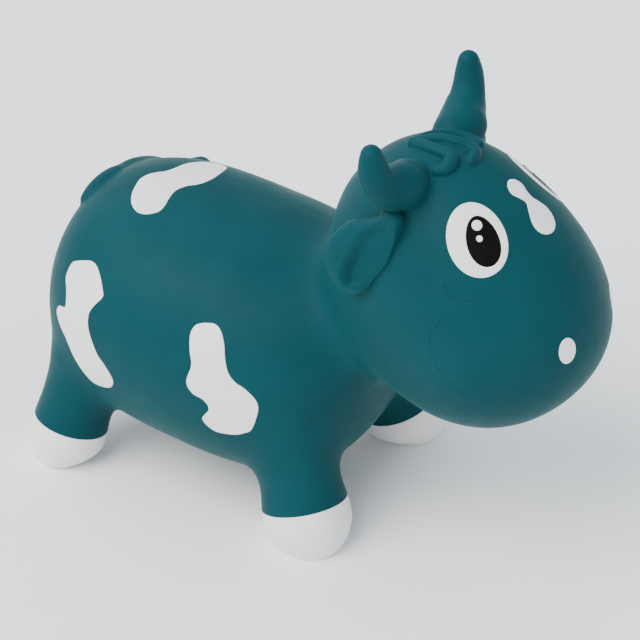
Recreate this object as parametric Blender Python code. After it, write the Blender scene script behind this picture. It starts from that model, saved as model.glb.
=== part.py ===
"""Inflatable hop-on cow: an air-filled vinyl skin in its moulded sections, its paint and its air valve.

Units are metres. +X points to the animal's muzzle, +Y to its left, +Z up, and the floor is z = 0.
Every section of the skin is a hollow shell that opens into its neighbour, so the air space runs
from the hooves to the horns. Sections meet across SEAM_GAP, and each is cut by the larger one.
"""
import math

import bmesh
import bpy
import numpy as np
from mathutils import Matrix, Vector

# Skin, seams and paint
SKIN_WALL = 0.0020
SEAM_GAP = 0.0003
PAINT_FILM = 0.0004
FILM_STEP = 0.012
CUT_OVERRUN = 0.010

# Torso: a blunt egg on an axis that dips towards the head
TORSO_MIDDLE_X = -0.1100
BELLY_CLEARANCE = 0.0300
TORSO_LENGTH = 0.358
TORSO_WIDTH = 0.278
TORSO_DEPTH = 0.258
TORSO_SAG = 0.004
TORSO_DIP_DEG = 6.5
TORSO_END_POWER = 2.9
TORSO_SECTION_POWER = 2.15
TORSO_WIDTH_LEAN_SHARE = 0.05
TORSO_DEPTH_LEAN_SHARE = -0.02

# Head: an egg with its narrow end at the crown, sunk a little into the top of the torso's front end
NECK_OVERLAP = 0.0155
NECK_TORSO_SHARE = 0.875
NECK_HEAD_SHARE = -0.185
HEAD_LENGTH = 0.294
HEAD_WIDTH = 0.224
HEAD_DEPTH = 0.243
HEAD_SAG = 0.011
HEAD_DIP_DEG = 45.8
HEAD_END_POWER = 2.16
HEAD_SECTION_POWER = 2.0
HEAD_WIDTH_LEAN_SHARE = 0.157
HEAD_DEPTH_LEAN_SHARE = 0.015
NECK_BORE = 0.064

# Legs and hooves: each leg leans from its foot to a hip inside the torso
FRONT_FOOT_SETBACK = 0.026
FRONT_FOOT_INSET = 0.033
FRONT_HIP_BACK = 0.051
FRONT_HIP_INWARD = 0.031
FRONT_HOOF_WIDTH = 0.088
FRONT_ANKLE_WIDTH = 0.079
REAR_FOOT_SETBACK = 0.037
REAR_FOOT_INSET = 0.031
REAR_HIP_FORWARD = 0.028
REAR_HIP_INWARD = 0.042
REAR_HOOF_WIDTH = 0.078
REAR_ANKLE_WIDTH = 0.073
HIP_DROP = 0.013
HIP_SWELL = 0.003
SOLE_INSET = 0.016
SOLE_WALL = 0.004
HOOF_BULGE_HEIGHT = 0.026
HOOF_PAINT_HEIGHT = 0.040
ANKLE_HEIGHT = 0.068
LEG_BORE = 0.044
HOOF_RING_SHARES = (0.0, 0.06, 0.20, 0.40, 0.68, 1.0)
HOOF_AIR_SHARE = 0.5

# Horns: a bulb on the side of the crown that bends up into a blunt tip
HORN_ALONG_SHARE = -0.79
HORN_ROUND_DEG = 138.0
HORN_ROOT_DEPTH = 0.019
HORN_BEND_BACK = 0.007
HORN_BEND_REACH = 0.058
HORN_BEND_RISE = 0.005
HORN_TIP_BACK = 0.004
HORN_TIP_INWARD = 0.010
HORN_TIP_RISE = 0.055
HORN_ROOT_WIDTH = 0.043
HORN_TIP_WIDTH = 0.022
HORN_BORE = 0.020
HORN_STEP_SHARES = (0.0, 0.12, 0.24, 0.36, 0.48, 0.60, 0.72, 0.84, 0.93, 0.985)
HORN_WIDTH_SHARES = (0.80, 0.97, 1.00, 0.92, 0.74, 0.55, 0.42, 0.26, 0.08, -0.30)

# Ears: cupped leaves of vinyl that hang from below the horns
EAR_ALONG_SHARE = -0.69
EAR_ROUND_DEG = 150.0
EAR_ROOT_DEPTH = 0.008
EAR_LENGTH = 0.104
EAR_WIDTH = 0.065
EAR_THICKNESS = 0.009
EAR_CUP = 0.013
EAR_SWAY = 0.004
EAR_BOW = 0.018
EAR_BACK_SHARE = 0.36
EAR_OUT_SHARE = 0.41
EAR_DROP_SHARE = 0.74
EAR_THINNING_SHARE = 0.35
EAR_CUP_START_SHARE = 0.4
EAR_WIDTH_SHARES = (
    (0.0, 0.30), (0.12, 0.38), (0.28, 0.52), (0.45, 0.80), (0.62, 0.90), (0.79, 0.82), (0.92, 0.56),
)

# Forelock and tail: raised ridges moulded on the crown and on the rump
STRAND_WIDTH = 0.0085
TAIL_ROOT_WIDTH = 0.028
TAIL_WIDTH = 0.017
TAIL_TUFT_WIDTH = 0.026
TAIL_BURIED_SHARE = 0.35
RIDGE_TIP_SHARE = 0.6

# Face paint
EYE_ALONG_SHARE = -0.259
EYE_ROUND_DEG = 126.0
EYE_LENGTH = 0.071
EYE_WIDTH = 0.057
EYE_TILT_DEG = 20.0
PUPIL_ALONG_SHARE = -0.234
PUPIL_ROUND_DEG = 124.2
PUPIL_LENGTH = 0.048
PUPIL_WIDTH = 0.031
GLINT_UPPER_ALONG_SHARE = -0.333
GLINT_UPPER_ROUND_DEG = 121.9
GLINT_UPPER_WIDTH = 0.0098
GLINT_LOWER_ALONG_SHARE = -0.262
GLINT_LOWER_ROUND_DEG = 125.0
GLINT_LOWER_WIDTH = 0.0060
NOSTRIL_ALONG_SHARE = 0.655
NOSTRIL_ROUND_DEG = 119.3
NOSTRIL_LENGTH = 0.0262
NOSTRIL_WIDTH = 0.0195
NOSTRIL_TILT_DEG = 18.0

# Body paint: (share along the section, degrees round it, share of the patch width)
FLANK_PATCH_WIDTH = 0.053
FLANK_PATCH_SHARES = (
    (0.225, 150.0, 0.60), (0.245, 155.0, 0.72), (0.270, 161.5, 0.78), (0.315, 169.0, 0.90),
    (0.415, 175.5, 0.88), (0.440, 183.0, 0.98), (0.425, 187.5, 0.72),
)
RUMP_PATCH_WIDTH = 0.050
RUMP_PATCH_SHARES = (
    (-0.625, 150.5, 0.80), (-0.600, 156.0, 0.92), (-0.598, 164.0, 0.78), (-0.605, 171.5, 0.74),
    (-0.610, 178.5, 1.00), (-0.540, 186.5, 0.94), (-0.450, 192.5, 0.82), (-0.400, 195.5, 0.55),
)
BACK_PATCH_WIDTH = 0.040
BACK_PATCH_SHARES = (
    (-0.400, 60.0, 0.55), (-0.392, 68.0, 0.80), (-0.405, 78.0, 0.88), (-0.445, 88.0, 0.98),
    (-0.490, 97.0, 0.98), (-0.490, 103.5, 0.92), (-0.475, 107.0, 0.78),
)
FOREHEAD_SPOT_WIDTH = 0.031
FOREHEAD_SPOT_SHARES = (
    (-0.385, 88.0, 0.46), (-0.330, 88.6, 0.62), (-0.275, 88.4, 0.40), (-0.225, 87.8, 0.36),
    (-0.165, 88.4, 0.72), (-0.100, 89.2, 1.00), (-0.040, 90.0, 0.86), (-0.010, 90.3, 0.52),
)

# Forelock strands and tail: (share along the section, degrees round it, share of the ridge width)
FORELOCK_SHARES = (
    ((-0.930, 100.0, 0.80), (-0.880, 101.5, 0.95), (-0.813, 102.0, 1.00), (-0.755, 101.5, 1.20),
     (-0.718, 104.5, 1.45), (-0.703, 111.5, 1.20), (-0.728, 117.5, 0.75)),
    ((-0.930, 98.0, 0.75), (-0.904, 92.0, 0.85), (-0.850, 84.5, 0.90), (-0.785, 82.5, 0.90),
     (-0.712, 81.5, 0.90), (-0.655, 86.0, 0.90), (-0.640, 96.0, 0.70)),
    ((-0.928, 96.0, 0.70), (-0.910, 82.0, 0.80), (-0.865, 72.0, 0.85), (-0.806, 67.5, 0.90),
     (-0.736, 66.5, 0.85), (-0.668, 70.5, 0.60)),
)
TAIL_SHARES = (
    (-0.905, 102.0), (-0.888, 95.0), (-0.872, 87.0), (-0.855, 77.0), (-0.835, 65.0), (-0.805, 52.0),
    (-0.765, 41.0), (-0.705, 34.0), (-0.640, 32.0), (-0.580, 34.0), (-0.525, 39.0),
)
TAIL_WIDTH_SHARES = (0.10, 0.65, 1.00, 0.85, 0.50, 0.20, 0.00, 0.00, 0.35, 1.00, 0.30)
LEFT_RUMP_START_SHARE = 0.25
PATCH_CAP_SHARES = (0.45, 0.80, 0.97)
PATCH_ROW_SHARES = (-1.0, -0.5, 0.0, 0.5, 1.0)

# Air valve on the belly: a moulded-in seat and a push-in stopper that pulls straight out
VALVE_ALONG_SHARE = 0.10
VALVE_FLANGE_WIDTH = 0.024
VALVE_TUBE_WIDTH = 0.0150
VALVE_TUBE_LENGTH = 0.0130
PLUG_STEM_WIDTH = 0.0096
PLUG_CLEARANCE = 0.0003
PLUG_STEM_LENGTH = 0.0120
PLUG_BARB_DEPTH = 0.0005
PLUG_BARBS = 3
PLUG_CAP_WIDTH = 0.0190
PLUG_CAP_THICKNESS = 0.0022
PLUG_CAP_ROUND = 0.0007

# Facets
TORSO_RINGS, TORSO_SIDES = 21, 36
HEAD_RINGS, HEAD_SIDES = 19, 34
AIR_RINGS, AIR_SIDES = 14, 24
LEG_SIDES, LEG_AIR_SIDES = 20, 12
HORN_SIDES, HORN_AIR_SIDES = 16, 10
EAR_SIDES = 14
STRAND_SIDES, TAIL_SIDES = 8, 12
DISC_SIDES, VALVE_SIDES = 18, 16
SMOOTH_ANGLE_DEG = 40.0

# Finishes: colour, roughness
TEAL_VINYL = ((0.013, 0.105, 0.128), 0.46)
WHITE_PAINT = ((0.80, 0.79, 0.78), 0.42)
BLACK_PAINT = ((0.010, 0.010, 0.009), 0.38)
CLEAR_VINYL = ((0.62, 0.66, 0.66), 0.35)

TOP_DEG, BOTTOM_DEG = 90.0, 270.0
BODIES = {}


def unit(vector):
    """Return a vector of length one."""
    return vector / np.linalg.norm(vector)


def smooth_rows(rows, steps):
    """Pass a Catmull-Rom curve through rows of numbers, with a count of steps between two rows."""
    rows = np.array(rows, dtype=float)
    padded = np.vstack([2 * rows[0] - rows[1], rows, 2 * rows[-1] - rows[-2]])
    curve = []
    for i in range(len(rows) - 1):
        before, start, end, after = padded[i:i + 4]
        for t in np.linspace(0, 1, steps, endpoint=False):
            curve.append(0.5 * (2 * start + (end - before) * t
                                + (2 * before - 5 * start + 4 * end - after) * t ** 2
                                + (3 * start - before - 3 * end + after) * t ** 3))
    curve.append(rows[-1])
    return np.array(curve)


class Egg:
    """A closed, rounded section of the skin: oval rings along a straight axis in the XZ plane."""

    def __init__(self, centre, length, width, depth, sag, dip_deg, end_power, section_power,
                 width_lean_share, depth_lean_share):
        dip = math.radians(dip_deg)
        self.centre = np.array(centre)
        self.axis = np.array([math.cos(dip), 0, -math.sin(dip)])
        self.up = np.array([math.sin(dip), 0, math.cos(dip)])
        self.left = np.array([0, 1, 0])
        self.length, self.width, self.depth, self.sag = length, width, depth, sag
        self.end_power, self.section_power = end_power, section_power
        self.width_lean_share, self.depth_lean_share = width_lean_share, depth_lean_share

    def point(self, along, round_deg, proud=0.0):
        """Return the surface point at a share along the axis and an angle round it, 90 on top."""
        turn = math.radians(round_deg)
        fullness = max(0.0, 1 - abs(along) ** self.end_power) ** (1 / self.end_power)
        across = math.copysign(abs(math.cos(turn)) ** (2 / self.section_power), math.cos(turn))
        above = math.copysign(abs(math.sin(turn)) ** (2 / self.section_power), math.sin(turn))
        half_width = (self.width / 2 + proud) * (1 + self.width_lean_share * along) * fullness
        half_depth = (self.depth / 2 + proud) * (1 + self.depth_lean_share * along) * fullness
        lift = half_depth * above - self.sag * (1 - along ** 2)
        return (self.centre + self.axis * (self.length / 2 + proud) * along
                + self.up * lift + self.left * half_width * across)

    def tangents(self, along, round_deg):
        """Return how the surface point moves per share along the axis and per degree round it."""
        share, degree = 1e-4, 1e-2
        ahead = self.point(along + share, round_deg) - self.point(along - share, round_deg)
        around = self.point(along, round_deg + degree) - self.point(along, round_deg - degree)
        return ahead / (2 * share), around / (2 * degree)

    def normal(self, along, round_deg):
        """Return the outward normal."""
        by_share, by_degree = self.tangents(along, round_deg)
        return unit(np.cross(by_degree, by_share))

    def walk(self, along, round_deg, heading, distance, steps=4):
        """Walk over the surface from a place on it, and return the place reached."""
        for _ in range(steps):
            by_share, by_degree = self.tangents(along, round_deg)
            step = heading * distance / steps
            frame = np.array([by_share, by_degree]).T
            moved = np.linalg.lstsq(frame, step, rcond=None)[0]
            along, round_deg = along + moved[0], round_deg + moved[1]
        return along, round_deg

    def rings(self, count, sides, proud=0.0):
        """Return the rings of points from the rear end to the front end."""
        turns = np.linspace(0, 360, sides, endpoint=False)
        places = -np.cos(np.linspace(0, math.pi, count + 2)[1:-1])
        return [[self.point(along, turn, proud) for turn in turns] for along in places]

    def tips(self, proud=0.0):
        """Return the two end points."""
        return self.point(-1.0, TOP_DEG, proud), self.point(1.0, TOP_DEG, proud)


def loft(rings, start_tip=None, end_tip=None):
    """Skin a list of rings; an end closes on its tip point, or flat where it has none."""
    bm = bmesh.new()
    rows = [[bm.verts.new(point) for point in ring] for ring in rings]
    sides = len(rows[0])
    for lower, upper in zip(rows, rows[1:]):
        for i in range(sides):
            j = (i + 1) % sides
            bm.faces.new((lower[i], lower[j], upper[j], upper[i]))
    for row, tip in ((rows[0], start_tip), (rows[-1], end_tip)):
        if tip is None:
            bm.faces.new(row)
            continue
        peak = bm.verts.new(tip)
        for i in range(sides):
            bm.faces.new((row[i], row[(i + 1) % sides], peak))
    bmesh.ops.recalc_face_normals(bm, faces=bm.faces)
    return bm


def tube_rings(path, radii, sides, reference):
    """Return round rings square to a path; reference keeps them from twisting."""
    path = np.array(path)
    headings = np.gradient(path, axis=0)
    turns = np.linspace(0, 2 * math.pi, sides, endpoint=False)
    rings = []
    for centre, heading, radius in zip(path, headings, radii):
        side = unit(np.cross(heading, reference))
        over = unit(np.cross(side, heading))
        rings.append([centre + radius * (side * math.cos(turn) + over * math.sin(turn))
                      for turn in turns])
    return rings


def make_material(name, finish):
    """Make a Principled material from a finish."""
    colour, roughness = finish
    material = bpy.data.materials.new(name)
    material.use_nodes = True
    shader = material.node_tree.nodes["Principled BSDF"]
    shader.inputs["Base Color"].default_value = (*colour, 1.0)
    shader.inputs["Roughness"].default_value = roughness
    shader.inputs["Metallic"].default_value = 0.0
    return material


def place(name, bm, pivot, parent=None):
    """Turn a mesh built in world coordinates into an object whose origin is its pivot."""
    pivot = Vector(pivot)
    bmesh.ops.translate(bm, vec=-pivot, verts=bm.verts)
    mesh = bpy.data.meshes.new(name)
    bm.to_mesh(mesh)
    bm.free()
    mesh.shade_smooth()
    mesh.set_sharp_from_angle(angle=math.radians(SMOOTH_ANGLE_DEG))
    piece = bpy.data.objects.new(name, mesh)
    bpy.context.collection.objects.link(piece)
    piece.location = pivot
    if parent is not None:
        piece.parent = parent
        piece.location = pivot - parent.location
    return piece


def make_piece(name, bm, pivot, body, finish):
    """Add one named piece of the product to a moving body."""
    piece = place(name, bm, pivot, BODIES[body])
    piece.data.materials.append(make_material(name, finish))
    return piece


def make_cutter(name, bm):
    """Add a guide solid that only cuts others."""
    guide = place(name, bm, (0, 0, 0))
    guide.hide_render = True
    guide.display_type = "WIRE"
    return guide


def cut(piece, guide):
    """Cut a guide out of a piece."""
    modifier = piece.modifiers.new("cut_" + guide.name, "BOOLEAN")
    modifier.operation = "DIFFERENCE"
    modifier.solver = "EXACT"
    modifier.object = guide


def make_body(name, location):
    """Add the empty that carries one moving body."""
    empty = bpy.data.objects.new(name, None)
    empty.location = location
    bpy.context.collection.objects.link(empty)
    BODIES[name] = empty


TORSO_MIDDLE_Z = BELLY_CLEARANCE + TORSO_DEPTH / 2 + TORSO_SAG
TORSO = Egg((TORSO_MIDDLE_X, 0, TORSO_MIDDLE_Z), TORSO_LENGTH, TORSO_WIDTH, TORSO_DEPTH, TORSO_SAG,
            TORSO_DIP_DEG, TORSO_END_POWER, TORSO_SECTION_POWER,
            TORSO_WIDTH_LEAN_SHARE, TORSO_DEPTH_LEAN_SHARE)
TORSO_REAR, TORSO_FRONT = TORSO.tips()


NECK = TORSO.point(NECK_TORSO_SHARE, TOP_DEG) - TORSO.normal(NECK_TORSO_SHARE, TOP_DEG) * NECK_OVERLAP


def seated_head():
    """Make the head's egg, so placed that its underside sinks into the torso as far as the neck point."""
    head = Egg((0, 0, 0), HEAD_LENGTH, HEAD_WIDTH, HEAD_DEPTH, HEAD_SAG, HEAD_DIP_DEG, HEAD_END_POWER,
               HEAD_SECTION_POWER, HEAD_WIDTH_LEAN_SHARE, HEAD_DEPTH_LEAN_SHARE)
    head.centre = NECK - head.point(NECK_HEAD_SHARE, BOTTOM_DEG)
    return head


HEAD = seated_head()


class Leg:
    """One leg and its hoof: round rings on a straight line from the foot to the hip."""

    def __init__(self, end, side):
        front = end == "front"
        inset = FRONT_FOOT_INSET if front else REAR_FOOT_INSET
        foot_x = TORSO_FRONT[0] - FRONT_FOOT_SETBACK if front else TORSO_REAR[0] + REAR_FOOT_SETBACK
        hip_shift = -FRONT_HIP_BACK if front else REAR_HIP_FORWARD
        hip_inward = FRONT_HIP_INWARD if front else REAR_HIP_INWARD
        self.foot = np.array([foot_x, side * (TORSO_WIDTH / 2 - inset), 0])
        self.hip_height = TORSO_MIDDLE_Z - HIP_DROP
        self.lean = np.array([hip_shift, -side * hip_inward, self.hip_height]) / self.hip_height
        self.hoof_radius = (FRONT_HOOF_WIDTH if front else REAR_HOOF_WIDTH) / 2
        self.ankle_radius = (FRONT_ANKLE_WIDTH if front else REAR_ANKLE_WIDTH) / 2

    def centre(self, height):
        """Return the point on the leg's line at a height."""
        return self.foot + self.lean * height

    def radius(self, height):
        """Return the leg's radius: a rounded hoof, a narrower ankle and a slight swell to the hip."""
        if height < HOOF_BULGE_HEIGHT:
            drop = 1 - height / HOOF_BULGE_HEIGHT
            return self.hoof_radius - SOLE_INSET * drop ** 2
        if height < ANKLE_HEIGHT:
            ease = (height - HOOF_BULGE_HEIGHT) / (ANKLE_HEIGHT - HOOF_BULGE_HEIGHT)
            blend = (1 - math.cos(math.pi * ease)) / 2
            return self.hoof_radius + (self.ankle_radius - self.hoof_radius) * blend
        rise = (height - ANKLE_HEIGHT) / (self.hip_height - ANKLE_HEIGHT)
        return self.ankle_radius + HIP_SWELL * rise ** 2

    def ring(self, height, sides, proud=0.0):
        """Return a ring, level at the sole and square to the leg from the hoof's bulge up."""
        tilt = min(1.0, height / HOOF_BULGE_HEIGHT)
        heading = unit(unit(self.lean) * tilt + np.array([0, 0, 1]) * (1 - tilt))
        side = unit(np.cross(np.array([0, 1, 0]), heading))
        over = np.cross(heading, side)
        radius = self.radius(height) + proud
        turns = np.linspace(0, 2 * math.pi, sides, endpoint=False)
        return [self.centre(height) + radius * (side * math.cos(turn) + over * math.sin(turn))
                for turn in turns]


LEGS = {end + "_" + hand: Leg(end, side)
        for end in ("front", "rear") for hand, side in (("right", -1), ("left", 1))}
SIDES = (("right", -1), ("left", 1))


def mirrored(round_deg, side):
    """Return an angle given for the animal's right side, on the side asked for."""
    return round_deg if side < 0 else 180 - round_deg


def cutter_solids():
    """Make the solids that several sections are cut with."""
    guides = {}
    guides["torso_seam"] = make_cutter(
        "torso_seam", loft(TORSO.rings(TORSO_RINGS, TORSO_SIDES, SEAM_GAP), *TORSO.tips(SEAM_GAP)))
    guides["head_seam"] = make_cutter(
        "head_seam", loft(HEAD.rings(HEAD_RINGS, HEAD_SIDES, SEAM_GAP), *HEAD.tips(SEAM_GAP)))
    guides["torso_air"] = make_cutter(
        "torso_air", loft(TORSO.rings(AIR_RINGS, AIR_SIDES, -SKIN_WALL), *TORSO.tips(-SKIN_WALL)))
    guides["head_air"] = make_cutter(
        "head_air", loft(HEAD.rings(AIR_RINGS, AIR_SIDES, -SKIN_WALL), *HEAD.tips(-SKIN_WALL)))
    return guides


def bore(name, start, end, width):
    """Make a straight round cutter between two points."""
    start, end = np.array(start), np.array(end)
    rings = tube_rings([start, end], [width / 2] * 2, AIR_SIDES, np.array([0, 1, 0]))
    return make_cutter(name, loft(rings))


def build_torso(guides):
    """Make the torso shell with the bores that lead its air into the head and the legs."""
    torso = make_piece("torso_skin", loft(TORSO.rings(TORSO_RINGS, TORSO_SIDES), *TORSO.tips()),
                       TORSO.centre, "ride_body", TEAL_VINYL)
    cut(torso, guides["torso_air"])
    neck_way = unit(HEAD.centre - NECK)
    cut(torso, bore("neck_bore", NECK - neck_way * NECK_BORE, HEAD.centre, NECK_BORE))
    for name, leg in LEGS.items():
        lowest = leg.centre(HOOF_PAINT_HEIGHT)
        cut(torso, bore("leg_bore_" + name, lowest, leg.centre(leg.hip_height), LEG_BORE))
    foot, out = valve_frame()
    cut(torso, bore("valve_hole", foot - out * CUT_OVERRUN, foot + out * CUT_OVERRUN,
                    VALVE_FLANGE_WIDTH + 2 * SEAM_GAP))


def build_head(guides):
    """Make the head shell, open to the torso and to both horns."""
    head = make_piece("head_skin", loft(HEAD.rings(HEAD_RINGS, HEAD_SIDES), *HEAD.tips()),
                      HEAD.centre, "ride_body", TEAL_VINYL)
    cut(head, guides["head_air"])
    cut(head, guides["torso_seam"])
    for hand, side in SIDES:
        path = horn_path(side)
        cut(head, bore("horn_bore_" + hand, path[0], path[len(path) // 3], HORN_BORE))


def build_legs(guides):
    """Make the four legs and their hooves; each hoof is a cup that opens into its leg."""
    for name, leg in LEGS.items():
        hoof_heights = [HOOF_BULGE_HEIGHT * share for share in HOOF_RING_SHARES]
        hoof_heights.append(HOOF_PAINT_HEIGHT)
        leg_heights = np.linspace(HOOF_PAINT_HEIGHT + SEAM_GAP, leg.hip_height, 8)
        air_heights = [SOLE_WALL, HOOF_BULGE_HEIGHT * HOOF_AIR_SHARE, HOOF_BULGE_HEIGHT, HOOF_PAINT_HEIGHT,
                       ANKLE_HEIGHT, leg.hip_height + CUT_OVERRUN]
        air = make_cutter("leg_air_" + name,
                          loft([leg.ring(height, LEG_AIR_SIDES, -SKIN_WALL) for height in air_heights]))
        hoof = make_piece("hoof_" + name, loft([leg.ring(height, LEG_SIDES) for height in hoof_heights]),
                          leg.foot, "feet", WHITE_PAINT)
        cut(hoof, air)
        tube = make_piece("leg_" + name, loft([leg.ring(height, LEG_SIDES) for height in leg_heights]),
                          leg.centre(HOOF_PAINT_HEIGHT), "feet", TEAL_VINYL)
        cut(tube, air)
        cut(tube, guides["torso_seam"])


def horn_path(side):
    """Return points from inside the head, out through the bulb and up to the tip of a horn."""
    round_deg = mirrored(HORN_ROUND_DEG, side)
    seat = HEAD.point(HORN_ALONG_SHARE, round_deg)
    start = seat - HEAD.normal(HORN_ALONG_SHARE, round_deg) * HORN_ROOT_DEPTH
    bend = seat + np.array([-HORN_BEND_BACK, side * HORN_BEND_REACH, HORN_BEND_RISE])
    tip = bend + np.array([-HORN_TIP_BACK, -side * HORN_TIP_INWARD, HORN_TIP_RISE])
    return np.array([(1 - t) ** 2 * start + 2 * t * (1 - t) * bend + t ** 2 * tip
                     for t in HORN_STEP_SHARES])


def build_horns(guides):
    """Make the hollow horns, and the solids that cut the ears and the forelock clear of them."""
    ahead = np.array([1, 0, 0])
    taper = HORN_ROOT_WIDTH - HORN_TIP_WIDTH
    radii = [(HORN_TIP_WIDTH + (taper if share > 0 else HORN_TIP_WIDTH) * share) / 2
             for share in HORN_WIDTH_SHARES]
    for hand, side in SIDES:
        path = horn_path(side)
        tip = path[-1] + unit(path[-1] - path[-2]) * (radii[-1] / 2)
        outer = loft(tube_rings(path, radii, HORN_SIDES, ahead), None, tip)
        horn = make_piece("horn_" + hand, outer, path[0], "ride_body", TEAL_VINYL)
        inner = tube_rings(path[:-2], [radius - SKIN_WALL for radius in radii[:-2]], HORN_AIR_SIDES, ahead)
        cut(horn, make_cutter("horn_air_" + hand, loft(inner)))
        cut(horn, guides["head_seam"])
        grown = tube_rings(path, [radius + SEAM_GAP for radius in radii], HORN_SIDES, ahead)
        guides["horn_seam_" + hand] = make_cutter("horn_seam_" + hand, loft(grown, None, tip))


def build_ears(guides):
    """Make the ears: leaves with a cupped face that looks away from the head."""
    for hand, side in SIDES:
        round_deg = mirrored(EAR_ROUND_DEG, side)
        seat = HEAD.point(EAR_ALONG_SHARE, round_deg)
        along = unit(np.array([-EAR_BACK_SHARE, side * EAR_OUT_SHARE, -EAR_DROP_SHARE]))
        face = np.array([0, side, 0])
        face = unit(face - along * np.dot(face, along))
        across = np.cross(along, face)
        start = seat - along * EAR_ROOT_DEPTH
        rings = []
        for reach, width in smooth_rows(EAR_WIDTH_SHARES, 2):
            swing = math.sin(math.pi * reach)
            centre = (start + along * EAR_LENGTH * reach
                      - across * side * EAR_SWAY * swing + face * EAR_BOW * swing)
            half_width = EAR_WIDTH / 2 * width
            half_thick = EAR_THICKNESS / 2 * (1 - EAR_THINNING_SHARE * reach)
            cup = EAR_CUP * min(1.0, reach / EAR_CUP_START_SHARE) * width
            ring = []
            for turn in np.linspace(0, 2 * math.pi, EAR_SIDES, endpoint=False):
                lift = half_thick * math.sin(turn) + cup * (math.cos(turn) ** 2 - 1)
                ring.append(centre + across * half_width * math.cos(turn) + face * lift)
            rings.append(ring)
        tip = start + along * EAR_LENGTH
        ear = make_piece("ear_" + hand, loft(rings, None, tip), seat, "ride_body", TEAL_VINYL)
        cut(ear, guides["head_seam"])
        cut(ear, guides["horn_seam_" + hand])


def ridge(section, rows, widths, sides, buried_share):
    """Loft a tapered, round-ended ridge along a route on a section, sunk by a share of its radius."""
    radii = [width / 2 for width in widths]
    path = [section.point(along, round_deg) - section.normal(along, round_deg) * radius * buried_share
            for (along, round_deg), radius in zip(rows, radii)]
    reference = section.normal(*rows[len(rows) // 2])
    rings = tube_rings(path, radii, sides, reference)
    start = path[0] + unit(path[0] - path[1]) * radii[0] * RIDGE_TIP_SHARE
    end = path[-1] + unit(path[-1] - path[-2]) * radii[-1] * RIDGE_TIP_SHARE
    return loft(rings, start, end)


def build_forelock(guides):
    """Make the forelock: three swept strands joined at their root, seated on the crown."""
    strands = []
    for strand in FORELOCK_SHARES:
        rows = smooth_rows(strand, 2)
        strands.append(ridge(HEAD, rows[:, :2], rows[:, 2] * STRAND_WIDTH, STRAND_SIDES, 0))
    root = HEAD.point(*FORELOCK_SHARES[0][0][:2])
    forelock = make_piece("forelock", strands[0], root, "ride_body", TEAL_VINYL)
    for number, bm in enumerate(strands[1:], 1):
        modifier = forelock.modifiers.new("join_strand", "BOOLEAN")
        modifier.operation = "UNION"
        modifier.solver = "EXACT"
        modifier.object = make_cutter("strand_%d" % number, bm)
    cut(forelock, guides["head_seam"])
    for hand, _ in SIDES:
        cut(forelock, guides["horn_seam_" + hand])


def build_tail(guides):
    """Make the tail, a ridge that curls from the rump onto the left side and ends in a tuft."""
    rows = smooth_rows(TAIL_SHARES, 2)
    shares = smooth_rows([(share,) for share in TAIL_WIDTH_SHARES], 2)[:, 0]
    middle = len(rows) // 2
    widths = [TAIL_WIDTH + ((TAIL_ROOT_WIDTH if i < middle else TAIL_TUFT_WIDTH) - TAIL_WIDTH) * share
              for i, share in enumerate(shares)]
    tail = make_piece("tail", ridge(TORSO, rows, widths, TAIL_SIDES, TAIL_BURIED_SHARE),
                      TORSO.point(*TAIL_SHARES[0]), "ride_body", TEAL_VINYL)
    cut(tail, guides["torso_seam"])


def film_solid(section, rows, lift):
    """Close a grid of places on a surface into a thin film of paint; rows may start with one place."""
    bm = bmesh.new()
    layers = []
    for proud in (lift, lift + PAINT_FILM):
        layers.append([[bm.verts.new(section.point(*spot) + section.normal(*spot) * proud)
                        for spot in row] for row in rows])
    return bm, layers


def disc_film(section, along, round_deg, length, width, tilt_deg, lift):
    """Make an oval film: rings of places round a centre."""
    ring_count = max(1, round(length / 2 / FILM_STEP))
    by_share, by_degree = section.tangents(along, round_deg)
    ahead, around = unit(by_share), unit(by_degree)
    tilt = math.radians(tilt_deg)
    rows = [[(along, round_deg)]]
    for k in range(1, ring_count + 1):
        row = []
        for turn in np.linspace(0, 2 * math.pi, DISC_SIDES, endpoint=False):
            reach = length / 2 * math.cos(turn)
            spread = width / 2 * math.sin(turn)
            offset = (ahead * (reach * math.cos(tilt) - spread * math.sin(tilt))
                      + around * (reach * math.sin(tilt) + spread * math.cos(tilt))) * k / ring_count
            row.append(section.walk(along, round_deg, unit(offset), np.linalg.norm(offset)))
        rows.append(row)
    bm, layers = film_solid(section, rows, lift)
    for layer in layers:
        for i in range(DISC_SIDES):
            j = (i + 1) % DISC_SIDES
            bm.faces.new((layer[0][0], layer[1][i], layer[1][j]))
            for inner, outer in zip(layer[1:], layer[2:]):
                bm.faces.new((inner[i], outer[i], outer[j], inner[j]))
    for i in range(DISC_SIDES):
        j = (i + 1) % DISC_SIDES
        bm.faces.new((layers[0][-1][i], layers[0][-1][j], layers[1][-1][j], layers[1][-1][i]))
    bmesh.ops.recalc_face_normals(bm, faces=bm.faces)
    return bm


def cap_station(section, station, sense, reach):
    """Return a station of a patch's round end, at a share of its half width beyond the last one."""
    along, round_deg, heading, half = station
    spot = section.walk(along, round_deg, heading * sense, half * reach)
    return *spot, heading, half * math.sqrt(1 - reach ** 2)


def rim_of(layer):
    """Return a layer's outer vertices in order round it."""
    ends = [row[-1] for row in layer[-2::-1]]
    return [row[0] for row in layer] + layer[-1][1:] + ends + layer[0][-2:0:-1]


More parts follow.
